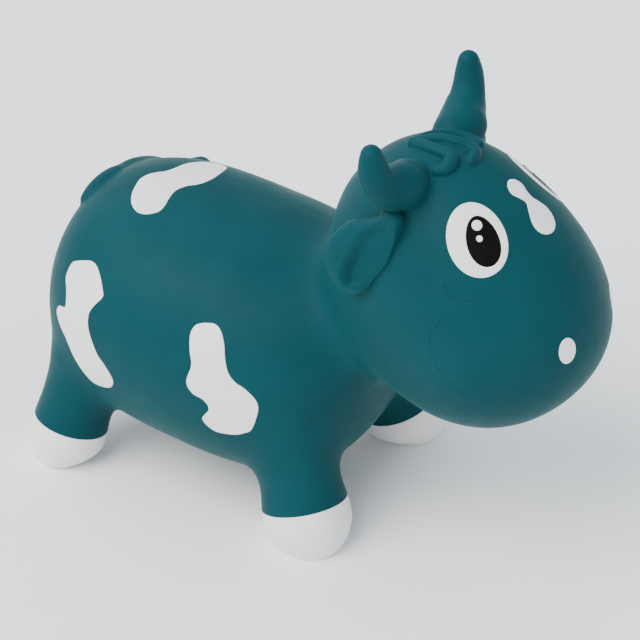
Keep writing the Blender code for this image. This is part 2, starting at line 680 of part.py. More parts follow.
def band_film(section, shares, width, lift):
    """Make a patch film: a band of changing width along a route, with round ends."""
    route = smooth_rows(shares, 2)
    points = [section.point(along, round_deg) for along, round_deg, _ in route]
    headings = np.gradient(np.array(points), axis=0)
    stations = [(along, round_deg, unit(heading), share * width / 2)
                for (along, round_deg, share), heading in zip(route, headings)]
    first, last = stations[0], stations[-1]
    for reach in PATCH_CAP_SHARES:
        stations.insert(0, cap_station(section, first, -1, reach))
        stations.append(cap_station(section, last, 1, reach))
    rows = []
    for along, round_deg, heading, half in stations:
        sideways = unit(np.cross(section.normal(along, round_deg), heading))
        rows.append([section.walk(along, round_deg, sideways, half * spread)
                     for spread in PATCH_ROW_SHARES])
    bm, layers = film_solid(section, rows, lift)
    for layer in layers:
        for near, far in zip(layer, layer[1:]):
            for i in range(len(near) - 1):
                bm.faces.new((near[i], near[i + 1], far[i + 1], far[i]))
    lower, upper = (rim_of(layer) for layer in layers)
    for i in range(len(lower)):
        j = (i + 1) % len(lower)
        bm.faces.new((lower[i], lower[j], upper[j], upper[i]))
    bmesh.ops.recalc_face_normals(bm, faces=bm.faces)
    return bm


def build_paint():
    """Make the paint: patches on the body, the eyes, the nostrils and the forehead spot."""
    first_coat = SEAM_GAP
    second_coat = first_coat + PAINT_FILM + SEAM_GAP
    third_coat = second_coat + PAINT_FILM + SEAM_GAP
    make_piece("patch_back", band_film(TORSO, BACK_PATCH_SHARES, BACK_PATCH_WIDTH, first_coat),
               TORSO.point(*BACK_PATCH_SHARES[0][:2]), "ride_body", WHITE_PAINT)
    make_piece("patch_forehead", band_film(HEAD, FOREHEAD_SPOT_SHARES, FOREHEAD_SPOT_WIDTH, first_coat),
               HEAD.point(*FOREHEAD_SPOT_SHARES[0][:2]), "ride_body", WHITE_PAINT)
    for hand, side in SIDES:
        for name, shares, width in (("patch_flank_", FLANK_PATCH_SHARES, FLANK_PATCH_WIDTH),
                                    ("patch_rump_", RUMP_PATCH_SHARES, RUMP_PATCH_WIDTH)):
            hidden_share = LEFT_RUMP_START_SHARE if name + hand == "patch_rump_left" else 0
            shown = shares[round(len(shares) * hidden_share):]
            sided = [(along, mirrored(round_deg, side), share) for along, round_deg, share in shown]
            make_piece(name + hand, band_film(TORSO, sided, width, first_coat),
                       TORSO.point(*sided[0][:2]), "ride_body", WHITE_PAINT)
        discs = (
            ("eye_white_", EYE_ALONG_SHARE, EYE_ROUND_DEG, EYE_LENGTH, EYE_WIDTH, EYE_TILT_DEG,
             first_coat, WHITE_PAINT),
            ("pupil_", PUPIL_ALONG_SHARE, PUPIL_ROUND_DEG, PUPIL_LENGTH, PUPIL_WIDTH, EYE_TILT_DEG,
             second_coat, BLACK_PAINT),
            ("glint_upper_", GLINT_UPPER_ALONG_SHARE, GLINT_UPPER_ROUND_DEG, GLINT_UPPER_WIDTH,
             GLINT_UPPER_WIDTH, 0, third_coat, WHITE_PAINT),
            ("glint_lower_", GLINT_LOWER_ALONG_SHARE, GLINT_LOWER_ROUND_DEG, GLINT_LOWER_WIDTH,
             GLINT_LOWER_WIDTH, 0, third_coat, WHITE_PAINT),
            ("nostril_", NOSTRIL_ALONG_SHARE, NOSTRIL_ROUND_DEG, NOSTRIL_LENGTH, NOSTRIL_WIDTH,
             NOSTRIL_TILT_DEG, first_coat, WHITE_PAINT),
        )
        for name, along, round_deg, length, width, tilt_deg, lift, finish in discs:
            centre_deg = mirrored(round_deg, side)
            bm = disc_film(HEAD, along, centre_deg, length, width, -side * tilt_deg, lift)
            make_piece(name + hand, bm, HEAD.point(along, centre_deg), "ride_body", finish)


def valve_frame():
    """Return the point on the belly where the valve opens, and the way out of it."""
    return TORSO.point(VALVE_ALONG_SHARE, BOTTOM_DEG), TORSO.normal(VALVE_ALONG_SHARE, BOTTOM_DEG)


def turned(profile, foot, out):
    """Spin a closed profile of (radius, distance outwards) about the valve's axis."""
    bm = bmesh.new()
    side = unit(np.cross(out, np.array([0, 1, 0])))
    loop = [bm.verts.new(foot + side * radius + out * reach) for radius, reach in profile]
    edges = [bm.edges.new((loop[i], loop[(i + 1) % len(loop)])) for i in range(len(loop))]
    bmesh.ops.spin(bm, geom=loop + edges, cent=Vector(foot), axis=Vector(out), angle=2 * math.pi,
                   steps=VALVE_SIDES, use_merge=True)
    bmesh.ops.remove_doubles(bm, verts=bm.verts, dist=SEAM_GAP / 10)
    bmesh.ops.recalc_face_normals(bm, faces=bm.faces)
    return bm


def build_valve():
    """Make the valve's seat, moulded into the belly, and its push-in stopper."""
    foot, out = valve_frame()
    bore_radius = PLUG_STEM_WIDTH / 2 + PLUG_CLEARANCE
    seat = ((VALVE_FLANGE_WIDTH / 2, 0), (VALVE_FLANGE_WIDTH / 2, -SKIN_WALL),
            (VALVE_TUBE_WIDTH / 2, -SKIN_WALL), (VALVE_TUBE_WIDTH / 2, -SKIN_WALL - VALVE_TUBE_LENGTH),
            (bore_radius, -SKIN_WALL - VALVE_TUBE_LENGTH), (bore_radius, 0))
    make_piece("valve_seat", turned(seat, foot, out), foot, "ride_body", TEAL_VINYL)
    stem_radius = PLUG_STEM_WIDTH / 2
    barb = PLUG_STEM_LENGTH / PLUG_BARBS
    cap_foot = SEAM_GAP
    rings = [(PLUG_CAP_WIDTH / 2 - PLUG_CAP_ROUND, cap_foot + PLUG_CAP_THICKNESS),
             (PLUG_CAP_WIDTH / 2, cap_foot + PLUG_CAP_THICKNESS - PLUG_CAP_ROUND),
             (PLUG_CAP_WIDTH / 2, cap_foot), (stem_radius - PLUG_BARB_DEPTH, cap_foot)]
    for k in range(PLUG_BARBS):
        top = cap_foot - barb * k
        rings.append((stem_radius, top - barb / 3))
        rings.append((stem_radius - PLUG_BARB_DEPTH, top - barb))
    turns = np.linspace(0, 2 * math.pi, VALVE_SIDES, endpoint=False)
    side = unit(np.cross(out, np.array([0, 1, 0])))
    over = np.cross(out, side)
    loops = [[foot + out * reach + radius * (side * math.cos(turn) + over * math.sin(turn))
              for turn in turns] for radius, reach in rings]
    make_piece("valve_plug", loft(loops), foot, "plug", CLEAR_VINYL)


def build():
    """Build the whole cow."""
    for piece in list(bpy.data.objects):
        bpy.data.objects.remove(piece)
    make_body("feet", (0, 0, 0))
    make_body("ride_body", (0, 0, 0))
    make_body("plug", valve_frame()[0])
    guides = cutter_solids()
    build_torso(guides)
    build_head(guides)
    build_legs(guides)
    build_horns(guides)
    build_ears(guides)
    build_forelock(guides)
    build_tail(guides)
    build_paint()
    build_valve()


build()
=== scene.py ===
"""Looks of an inflatable hop-on cow: a moulded vinyl skin, painted hooves, patches and face, and a valve.

The skin is the level surface of one field. Rounded sections, joined by soft fillets, are meshed on a
grid, and each vertex is then moved onto the field's surface. Units are metres; +X points to the muzzle,
+Y to the animal's left and +Z up. A place on a section is its share along the section's axis and its
degrees round it, 90 on top. What comes in pairs is given for the animal's right side and mirrored.
"""
import contextlib
import math

import bmesh
import bpy
import numpy as np
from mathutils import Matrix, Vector
from mathutils.geometry import delaunay_2d_cdt


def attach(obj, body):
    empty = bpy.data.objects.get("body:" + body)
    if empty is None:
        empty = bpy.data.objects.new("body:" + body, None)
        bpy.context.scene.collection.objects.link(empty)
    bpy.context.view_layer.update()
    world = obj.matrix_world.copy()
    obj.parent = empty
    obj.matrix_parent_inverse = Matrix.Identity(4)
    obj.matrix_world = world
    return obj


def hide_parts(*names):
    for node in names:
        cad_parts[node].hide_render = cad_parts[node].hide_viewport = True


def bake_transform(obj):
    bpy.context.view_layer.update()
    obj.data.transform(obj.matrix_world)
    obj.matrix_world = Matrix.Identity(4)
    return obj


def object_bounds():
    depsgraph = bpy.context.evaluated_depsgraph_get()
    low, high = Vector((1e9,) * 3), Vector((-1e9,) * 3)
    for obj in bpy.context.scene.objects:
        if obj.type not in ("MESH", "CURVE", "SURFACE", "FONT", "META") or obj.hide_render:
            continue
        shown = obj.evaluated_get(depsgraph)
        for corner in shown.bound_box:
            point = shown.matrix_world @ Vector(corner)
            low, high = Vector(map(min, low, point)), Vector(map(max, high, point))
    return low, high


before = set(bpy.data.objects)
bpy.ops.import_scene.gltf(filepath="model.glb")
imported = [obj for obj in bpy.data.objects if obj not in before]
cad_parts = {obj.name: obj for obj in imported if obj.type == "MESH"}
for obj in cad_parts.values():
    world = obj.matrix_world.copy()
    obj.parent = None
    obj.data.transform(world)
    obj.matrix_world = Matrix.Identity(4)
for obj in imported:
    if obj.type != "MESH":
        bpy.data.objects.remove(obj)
CAD_BOX = [list(corner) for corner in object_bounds()]

# The animal's sides with their sign along Y, and two directions
SIDES = (("right", -1), ("left", 1))
LEFT = np.array([0, 1, 0])
UP = np.array([0, 0, 1])

# How far the soft joins between the moulded forms reach
NECK_FILLET = 0.090
LEG_FILLET = 0.034
HORN_FILLET = 0.007
BULB_FILLET = 0.014
EAR_FILLET = 0.005
TAIL_FILLET = 0.010
TAIL_ROOT_FILLET = 0.005
TAIL_SWELL_FILLET = 0.014
STRAND_FILLET = 0.003
GROOVE_FILLET = 0.0012

# Grids that the skin and the legs are meshed on; a vertex settles by at most a third of a grid step at
# a time. Each refinement splits the faces within a margin of the small forms, with a limit of its own
SKIN_STEP = 0.0032
SKIN_GRID_MARGIN = 3 * SKIN_STEP
SKIN_GRID_FLOOR = 0.02
LEG_STEP = 0.0022
LEG_GRID_MARGIN = 0.01
LEG_GRID_FLOOR = 0.004
LEG_CUT_TOLERANCE = LEG_STEP / 50
SETTLE_PARTS = 3
REFINEMENTS = ((0.006, SKIN_STEP / 4), (0.004, SKIN_STEP / 8))
RING_SIDES = 72

# How a slope is measured, and what stands for too flat, too far and too small
PROBE = 0.0002
LEAST_STEEPNESS = 0.3
FAR = 0.1
TINY = 1e-9

# Where shading stays sharp: at a face this far off the skin's own slope, and at an edge this bent
CUT_FACE_COSINE = 0.7
SHARP_EDGE_DEG = 50

# Horn: a curved cone from its base over a bend to its tip, with its radius by share of its length,
# and the bulb that it grows from on the side of the crown
HORN_BASE = (0.108, -0.048, 0.409)
HORN_BEND = (0.1018, -0.0962, 0.4118)
HORN_TIP = (0.0972, -0.0958, 0.4598)
HORN_RADII = (
    (0.0, 0.0205), (0.20, 0.0212), (0.40, 0.0200), (0.50, 0.0180), (0.66, 0.0160), (0.75, 0.0150),
    (0.85, 0.0138), (0.93, 0.0122), (1.0, 0.0103),
)
HORN_POINTS = 29
HORN_RADII_STEPS = 6
HORN_BULB = ((0.1110, -0.0520, 0.4085), (0.1147, -0.0605, 0.4125))
HORN_BULB_RADIUS = 0.0187

# Ear: a thick lobe in a plane beside the head, with a hollow in its face; the outlines are shares of
# its length, down from the root and back from its middle
EAR_ROOT = (0.106, -0.0885, 0.3815)
EAR_AIM = (-0.338, -0.226, -0.914)
EAR_FACE = (0.0, -0.97, 0.24)
EAR_LENGTH = 0.080
EAR_HALF_THICKNESS = 0.0085
EAR_FRONT_SHIFT = 0.0045
EAR_FRONT_ROLL = 0.0050
EAR_REAR_ROLL = 0.0190
EAR_ROLL_START = -0.010
EAR_ROLL_END = 0.026
EAR_TOP_REACH = 0.032
EAR_DISH_DEPTH = 0.0100
EAR_DISH_REACH = 0.0130
EAR_SHALLOW_SHARE = 0.50
EAR_DEEPENING_REACH = 0.070
EAR_LIP = 0.0060
EAR_OUTLINE_STEPS = 4
EAR_OUTLINE_SHARES = (
    (-0.22, 0.00), (-0.10, 0.08), (0.035, 0.19), (0.16, 0.36), (0.32, 0.45), (0.55, 0.51), (0.74, 0.48),
    (0.89, 0.38), (0.99, 0.22), (1.01, 0.07), (0.97, -0.06), (0.825, -0.165), (0.59, -0.21),
    (0.38, -0.25), (0.18, -0.23), (-0.04, -0.20), (-0.20, -0.14),
)
EAR_DISH_SHARES = (
    (-0.10, -0.02), (0.03, 0.14), (0.18, 0.21), (0.46, 0.23), (0.72, 0.23), (0.90, 0.16), (0.97, 0.02),
    (0.88, -0.24), (0.60, -0.40), (0.38, -0.44), (0.18, -0.42), (0.00, -0.28),
)

# Bridge of skin from the head to the ear's root, under the horn's bulb
EAR_BRIDGE = ((0.103, -0.060, 0.382), (0.104, -0.073, 0.382))
EAR_BRIDGE_RADIUS = 0.009

# Forelock and tail: share along the section, degrees round it and radius
FORELOCK = (
    ((-0.93, 100, 0.0052), (-0.88, 101.5, 0.0058), (-0.813, 102, 0.0060), (-0.755, 101.5, 0.0066),
     (-0.718, 104.5, 0.0072), (-0.703, 111.5, 0.0068), (-0.728, 117.5, 0.0054)),
    ((-0.93, 98, 0.0048), (-0.904, 92, 0.0050), (-0.85, 84.5, 0.0052), (-0.785, 82.5, 0.0054),
     (-0.712, 81.5, 0.0056), (-0.655, 86, 0.0056), (-0.640, 96, 0.0048)),
    ((-0.928, 96, 0.0042), (-0.910, 82, 0.0046), (-0.865, 72, 0.0048), (-0.806, 67.5, 0.0048),
     (-0.736, 66.5, 0.0048), (-0.668, 70.5, 0.0042)),
)
STRAND_PROUD_SHARE = 0.15
STRAND_STEPS = 8
TAIL_ROOT = (
    (-0.906, 103.5, 0.0092), (-0.893, 96.5, 0.0126), (-0.880, 88.5, 0.0136), (-0.871, 81.5, 0.0122),
    (-0.866, 76.5, 0.0095),
)
TAIL_SWELL = ((-0.872, 65, 0.0125), (-0.856, 60, 0.0160), (-0.832, 55, 0.0145), (-0.800, 50, 0.0105))
TAIL_RUN = (
    (-0.868, 74, 0.0080), (-0.852, 61, 0.0090), (-0.825, 52, 0.0102), (-0.785, 44, 0.0098),
    (-0.740, 37, 0.0092), (-0.685, 32.5, 0.0102), (-0.618, 35, 0.0134), (-0.560, 41, 0.0106),
)
TAIL_BURIED_SHARE = 0.35
TAIL_SWELL_BURIED_SHARE = 0.62
TAIL_STEPS = 6

# Engraved lines on the head: share along, degrees round
CHEEK_LINE = ((-0.159, 150.0), (-0.115, 150.6), (-0.064, 149.5), (-0.015, 147.0), (0.021, 144.0))
MOUTH_LINE = ((-0.001, 160.0), (0.082, 171.0), (0.271, 176.0), (0.486, 175.5))
CHEEK_LINE_RADIUS = 0.0012
MOUTH_LINE_RADIUS = 0.0008
LINE_PROUD_SHARE = 0.35
LINE_STEPS = 12

# Legs: foot on the floor, lean per metre of height, and the radii of the hoof and the ankle
LEG_SHAPES = {
    "front": ((0.0419, 0.106), (-0.3400, 0.2067), 0.0440, 0.0395),
    "rear": ((-0.2508, 0.108), (0.1867, 0.2800), 0.0390, 0.0365),
}
SOLE_INSET = 0.016
HOOF_BULGE_HEIGHT = 0.026
HOOF_PAINT_HEIGHT = 0.040
ANKLE_HEIGHT = 0.068
HIP_HEIGHT = 0.150
HIP_SWELL = 0.003
LEG_END_HEIGHT = 0.105
HOOF_RINGS = 28
HOOF_RING_POWER = 1.2

# Skin of a leg: its seam over the hoof, its flare, which sinks under the body's skin towards its cut
# edge, and the height at which its top is cut off
LEG_SEAM = 0.0002
FLARE_SINK = 0.00003
FLARE_END_SINK = 0.0012
FLARE_MARGIN = 0.006
FLARE_FADE = 0.014
LEG_TOP_HEIGHT = 0.190

# Paint outlines on the torso and the head: share along, degrees round
RUMP_PATCH = (
    (-0.643, 144), (-0.590, 142.5), (-0.546, 143.5), (-0.501, 147), (-0.457, 152), (-0.445, 155),
    (-0.479, 160), (-0.505, 165), (-0.500, 170.5), (-0.470, 175.5), (-0.414, 181), (-0.346, 185),
    (-0.298, 190), (-0.316, 195.5), (-0.380, 199.5), (-0.455, 201.5), (-0.529, 198), (-0.597, 193),
    (-0.664, 186.5), (-0.725, 183), (-0.764, 179), (-0.745, 174), (-0.690, 171), (-0.706, 163),
    (-0.735, 157.5), (-0.735, 152.5), (-0.720, 148), (-0.690, 146),
)
FLANK_PATCH = (
    (0.157, 146), (0.195, 144.5), (0.235, 143.6), (0.270, 144.6), (0.302, 147.2), (0.330, 151),
    (0.356, 156), (0.395, 161.5), (0.449, 164.6), (0.503, 166), (0.573, 170), (0.593, 175.5),
    (0.572, 184.6), (0.530, 188), (0.472, 190.6), (0.363, 192), (0.288, 187.5), (0.322, 181),
    (0.283, 178), (0.213, 177), (0.170, 173), (0.180, 165), (0.150, 159), (0.131, 154.5), (0.124, 151),
    (0.133, 148),
)
BACK_PATCH = (
    (-0.570, 106.5), (-0.594, 102.5), (-0.613, 97), (-0.622, 92.5), (-0.605, 89), (-0.570, 86.5),
    (-0.530, 84), (-0.508, 79.5), (-0.495, 73.5), (-0.470, 68), (-0.430, 61), (-0.370, 58),
    (-0.315, 61), (-0.288, 68.5), (-0.275, 78), (-0.288, 84), (-0.314, 87.5), (-0.356, 90.5),
    (-0.380, 94.5), (-0.377, 99.5), (-0.367, 104), (-0.370, 107.5), (-0.395, 110), (-0.440, 112),
    (-0.490, 112), (-0.540, 109.5),
)
LEFT_RUMP_PATCH = (
    (-0.480, 160), (-0.503, 169), (-0.465, 176), (-0.414, 181), (-0.346, 185), (-0.298, 190),
    (-0.316, 195.5), (-0.380, 199.5), (-0.455, 201.5), (-0.529, 198), (-0.597, 193), (-0.664, 186.5),
    (-0.725, 183), (-0.764, 179), (-0.745, 174), (-0.690, 171), (-0.680, 164), (-0.640, 157.5),
    (-0.560, 155),
)
FOREHEAD_SPOT = (
    (-0.405, 88), (-0.385, 92.6), (-0.335, 94.6), (-0.285, 92.8), (-0.235, 91.4), (-0.185, 94.2),
    (-0.120, 97.4), (-0.060, 97.8), (-0.010, 95.4), (0.015, 90.6), (0.000, 85.6), (-0.050, 82.2),
    (-0.115, 81.2), (-0.175, 82.8), (-0.225, 84.6), (-0.275, 84.4), (-0.330, 82.6), (-0.380, 84.0),
)
PATCH_STEPS = 7

# Face paint, as ovals: share along, degrees round, half length, half width, tilt in degrees, egg share
EYE_WHITE = (-0.267, 126.0, 0.0358, 0.0284, 20.0, 0.05)
PUPIL = (-0.236, 124.2, 0.0243, 0.0154, 20.0, 0.10)
GLINT_UPPER = (-0.333, 121.9, 0.0049, 0.0049, 0.0, 0.0)
GLINT_LOWER = (-0.261, 124.9, 0.0030, 0.0030, 0.0, 0.0)
NOSTRIL = (0.653, 119.4, 0.0131, 0.0098, 18.0, 0.0)
OVAL_POINTS = 64
SMALL_OVAL_POINTS = 32
SMALL_OVAL = 0.01
NUDGE = 1e-3

# Films of paint: their height over the skin, the grid of their points and the band along their edge
PAINT_HEIGHT = 0.00018
PAINT_EDGE_DROP_SHARE = 0.6
PAINT_STEP = 0.0032
PAINT_ROW_SHARE = 0.87
PAINT_RIM = 0.0016
PAINT_RIM_PARTS = 8
PAINT_RIM_SHARE = 0.4
PAINT_MERGE = 1e-7
PAINT_SETTLE_LIMIT = 0.01
PAINT_SETTLE_ROUNDS = 6

# Valve: the place of the seat on the belly, and the opening that is cut for it in the skin
VALVE_PLACE = (0.10, 270.0)
VALVE_POCKET_RADIUS = 0.0123
VALVE_POCKET_DEPTH = 0.0170

# Tones of the finishes, darker and lighter, and the noise values between which they change
TEAL = ((0.0042, 0.045, 0.055), (0.0058, 0.0545, 0.0655))
WHITE = ((0.80, 0.785, 0.785), (0.86, 0.85, 0.85))
BLACK = ((0.0030, 0.0028, 0.0024), (0.0050, 0.0046, 0.0038))
MILKY = ((0.60, 0.64, 0.64), (0.68, 0.71, 0.71))
FLOOR_GREY = ((0.93, 0.93, 0.93), (0.95, 0.95, 0.95))
NOISE_LOW = 0.3
NOISE_HIGH = 0.7

# Camera, fitted to the photograph: angles in radians, lens and sensor in millimetres
CAMERA_PLACE = (1.2437, -2.2374, 1.9881)
CAMERA_YAW = 0.5104
CAMERA_PITCH = 0.613
CAMERA_LENS = 180.0
CAMERA_SENSOR = 36.0

# Light: where it comes from, its spread in degrees, its strength and its colour; the surroundings turn
# from white at the horizon to a pale blue overhead
KEY_LIGHT = ((-0.35, -0.75, 1.0), 50, 3.8, (1.0, 0.995, 0.98))
FILL_LIGHT = ((-1.0, 0.3, 0.9), 70, 1.0, (0.90, 0.97, 1.0))
HORIZON = (1.0, 1.0, 1.0, 1)
OVERHEAD = (0.84, 0.96, 1.08, 1)
SKY_STRENGTH = 1.05
FLOOR_SIZE = 14


def unit(vector):
    """Return a vector of length one."""
    vector = np.asarray(vector, float)
    return vector / np.linalg.norm(vector)


def merge(a, b, reach):
    """Join two fields with a fillet that starts where they differ by its reach."""
    overlap = np.maximum(reach - np.abs(a - b), 0) / reach
    return np.minimum(a, b) - overlap ** 3 * reach / 6


def carve(a, b, reach):
    """Take one field out of another, with a rounded lip."""
    return -merge(-a, b, reach)


def ease(share):
    """Return a share from 0 to 1 with soft ends."""
    share = np.clip(share, 0, 1)
    return share ** 2 * (3 - 2 * share)


def smooth_curve(points, steps, closed=False):
    """Pass a Catmull-Rom curve through points, with a count of steps between two of them."""
    rows = np.array(points, float)
    if closed:
        padded = np.vstack([rows[-1], rows, rows[:2]])
    else:
        padded = np.vstack([2 * rows[0] - rows[1], rows, 2 * rows[-1] - rows[-2]])
    curve = []
    for before, start, end, after in zip(padded, padded[1:], padded[2:], padded[3:]):
        for t in np.linspace(0, 1, steps, endpoint=False):
            curve.append(0.5 * (2 * start + (end - before) * t
                                + (2 * before - 5 * start + 4 * end - after) * t ** 2
                                + (3 * start - before - 3 * end + after) * t ** 3))
    if not closed:
        curve.append(rows[-1])
    return np.array(curve)


class Egg:
    """A rounded section of the skin: oval rings along an axis in the XZ plane."""

    def __init__(self, centre, size, sag, dip_deg, end_power, section_power, width_lean, depth_lean):
        dip = math.radians(dip_deg)
        self.centre = np.array(centre)
        self.half = np.array(size) / 2
        self.axis = np.array([math.cos(dip), 0, -math.sin(dip)])
        self.up = np.array([math.sin(dip), 0, math.cos(dip)])
        self.sag, self.end_power, self.section_power = sag, end_power, section_power
        self.width_lean, self.depth_lean = width_lean, depth_lean

    def point(self, along, round_deg):
        """Return the surface point at a place."""
        turn = math.radians(round_deg)
        fullness = max(0.0, 1 - abs(along) ** self.end_power) ** (1 / self.end_power)
        power = 2 / self.section_power
        across = math.copysign(abs(math.cos(turn)) ** power, math.cos(turn)) * fullness
        above = math.copysign(abs(math.sin(turn)) ** power, math.sin(turn)) * fullness
        lift = self.half[2] * (1 + self.depth_lean * along) * above - self.sag * (1 - along ** 2)
        sideways = self.half[1] * (1 + self.width_lean * along) * across
        return self.centre + self.axis * self.half[0] * along + self.up * lift + np.array([0, sideways, 0])

    def field(self, points):
        """Return the distance of points from the surface, exact on it and close to it, negative inside."""
        offset = points - self.centre
        along = offset @ self.axis / self.half[0]
        above = offset @ self.up + self.sag * (1 - along ** 2)
        half_width = self.half[1] * (1 + self.width_lean * along)
        half_depth = self.half[2] * (1 + self.depth_lean * along)
        p = np.abs(points[:, 1] / half_width)
        q = np.abs(above / half_depth)
        along = np.abs(along)
        n, e = self.end_power, self.section_power
        section = np.maximum(p ** e + q ** e, TINY)
        total = section ** (n / e) + along ** n
        level = total ** (1 / n)
        by_section = section ** (n / e - 1)
        slope = np.sqrt((by_section * p ** (e - 1) / half_width) ** 2
                        + (by_section * q ** (e - 1) / half_depth) ** 2
                        + (along ** (n - 1) / self.half[0]) ** 2) * level ** (1 - n)
        return (level - 1) / slope


TORSO = Egg(centre=(-0.110, 0, 0.163), size=(0.358, 0.278, 0.258), sag=0.004, dip_deg=6.5,
            end_power=2.9, section_power=2.15, width_lean=0.05, depth_lean=-0.02)
HEAD = Egg(centre=(0.1549, 0, 0.2919), size=(0.294, 0.224, 0.243), sag=0.011, dip_deg=45.8,
           end_power=2.16, section_power=2.0, width_lean=0.157, depth_lean=0.015)


def tube_field(points, path, radii):
    """Return the distance of points from a round tube of changing radius."""
    best = np.full(len(points), FAR)
    for start, end, r0, r1 in zip(path, path[1:], radii, radii[1:]):
        line = end - start
        share = np.clip((points - start) @ line / (line @ line), 0, 1)
        gap = np.linalg.norm(points - start - share[:, None] * line, axis=1) - (r0 + (r1 - r0) * share)
        best = np.minimum(best, gap)
    return best


class Feature:
    """A shape merged into the skin or carved out of it, worked out only near its own box."""

    def __init__(self, shape, low, high, fillet, mirrored=False, carved=False):
        self.shape, self.fillet, self.mirrored, self.carved = shape, fillet, mirrored, carved
        margin = 2 * fillet + SKIN_STEP
        self.low, self.high = np.array(low) - margin, np.array(high) + margin

    def own_side(self, points):
        """Return points, with the left side's mirrored to the right where the feature is a pair."""
        if not self.mirrored:
            return points
        local = points.copy()
        local[:, 1] = -np.abs(local[:, 1])
        return local

    def near(self, local):
        """Return the numbers of the points that lie in the feature's box."""
        return np.flatnonzero(np.all((local > self.low) & (local < self.high), axis=1))

    def apply(self, points, value):
        """Work the feature into a field's values at points."""
        local = self.own_side(points)
        near = self.near(local)
        if len(near):
            join = carve if self.carved else merge
            value[near] = join(value[near], self.shape(local[near]), self.fillet)


def tube_feature(path, radii, fillet, **kinds):
    """Make a feature of a tube."""
    path, radii = np.array(path), np.array(radii)
    widest = radii.max()
    return Feature(lambda points: tube_field(points, path, radii),
                   path.min(axis=0) - widest, path.max(axis=0) + widest, fillet, **kinds)


def surface_tube(section, rows, steps, fillet, sunk_share, radius=None, **kinds):
    """Make a tube that follows places on a section, sunk by a share of its radius."""
    path, radii = [], []
    for row in smooth_curve(rows, steps):
        here = row[2] if radius is None else radius
        point = section.point(row[0], row[1])
        path.append(point - slope_of(section.field, point[None])[0] * here * sunk_share)
        radii.append(here)
    return tube_feature(path, radii, fillet, **kinds)


def gradient_of(field, points):
    """Return a field's gradient at points."""
    gradient = np.empty_like(points)
    for k in range(3):
        step = np.zeros(3)
        step[k] = PROBE
        gradient[:, k] = (field(points + step) - field(points - step)) / (2 * PROBE)
    return gradient


def slope_of(field, points):
    """Return a field's unit gradient at points."""
    gradient = gradient_of(field, points)
    return gradient / np.maximum(np.linalg.norm(gradient, axis=1), TINY)[:, None]


def settle(field, points, limit, rounds=4):
    """Move points along the gradient onto the field's surface, by steps up to a limit."""
    points = points.copy()
    for _ in range(rounds):
        gradient = gradient_of(field, points)
        steepness = np.maximum(np.linalg.norm(gradient, axis=1), LEAST_STEEPNESS)
        step = np.clip(field(points) / steepness, -limit, limit)
        points -= gradient * (step / steepness)[:, None]
    return points


def horn_feature():
    """Make the horns."""
    base, bend, tip = (np.array(point) for point in (HORN_BASE, HORN_BEND, HORN_TIP))
    shares = np.linspace(0, 1, HORN_POINTS)
    path = [(1 - t) ** 2 * base + 2 * t * (1 - t) * bend + t ** 2 * tip for t in shares]
    marks = smooth_curve(HORN_RADII, HORN_RADII_STEPS)
    return tube_feature(path, np.interp(shares, marks[:, 0], marks[:, 1]), HORN_FILLET, mirrored=True)


def inside_outline(points, outline):
    """Tell which flat points are inside a closed outline."""
    inside = np.zeros(len(points), bool)
    for start, end in zip(outline, np.roll(outline, -1, axis=0)):
        if start[1] == end[1]:
            continue
        crosses = (start[1] > points[:, 1]) != (end[1] > points[:, 1])
        at = start[0] + (points[:, 1] - start[1]) / (end[1] - start[1]) * (end[0] - start[0])
        inside ^= crosses & (points[:, 0] < at)
    return inside


def outline_distance(points, outline):
    """Return how far flat points are from an outline."""
    best = np.full(len(points), FAR)
    for start, end in zip(outline, np.roll(outline, -1, axis=0)):
        line = end - start
        share = np.clip((points - start) @ line / (line @ line), 0, 1)
        best = np.minimum(best, np.linalg.norm(points - start - share[:, None] * line, axis=1))
    return best


def signed_distance(points, outline):
    """Return how far flat points are from an outline, negative inside it."""
    gap = outline_distance(points, outline)
    return np.where(inside_outline(points, outline), -gap, gap)


class Ear:
    """The right ear: a thick lobe, rolled broadly at the rear edge and hollowed in its face."""

    def __init__(self):
        self.root = np.array(EAR_ROOT)
        self.along = unit(EAR_AIM)
        face = np.array(EAR_FACE)
        self.face = unit(face - self.along * (face @ self.along))
        self.across = np.cross(self.along, self.face)
        self.outline = smooth_curve(EAR_OUTLINE_SHARES, EAR_OUTLINE_STEPS, closed=True) * EAR_LENGTH
        self.dish = smooth_curve(EAR_DISH_SHARES, EAR_OUTLINE_STEPS, closed=True) * EAR_LENGTH

    def field(self, points):
        """Return the distance of points from the ear."""
        offset = points - self.root
        flat = np.column_stack([offset @ self.along, offset @ self.across])
        out = offset @ self.face + EAR_FRONT_SHIFT
        edge = signed_distance(flat, self.outline)
        back = (ease((flat[:, 1] - EAR_ROLL_START) / (EAR_ROLL_END - EAR_ROLL_START))
                * ease(flat[:, 0] / EAR_TOP_REACH))
        roll = EAR_FRONT_ROLL + (EAR_REAR_ROLL - EAR_FRONT_ROLL) * back
        deep = ease((flat[:, 0] - flat[:, 1]) / EAR_DEEPENING_REACH)
        dish = EAR_DISH_DEPTH * (EAR_SHALLOW_SHARE + (1 - EAR_SHALLOW_SHARE) * deep)
        dish = dish * ease(-signed_distance(flat, self.dish) / EAR_DISH_REACH) * ease(-edge / EAR_LIP)
        out = out + dish * ease(out / EAR_HALF_THICKNESS + 1)
        level = np.hypot(np.maximum(edge + roll, 0) / roll, out / EAR_HALF_THICKNESS)
        return (level - 1) * np.minimum(roll, EAR_HALF_THICKNESS)

    def feature(self):
        """Make both ears a feature of the skin."""
        rim = self.root + np.outer(self.outline[:, 0], self.along) + np.outer(self.outline[:, 1], self.across)
        reach = EAR_HALF_THICKNESS + EAR_FRONT_SHIFT
        low, high = rim.min(axis=0) - reach, rim.max(axis=0) + reach
        return Feature(self.field, low, high, EAR_FILLET, mirrored=True)


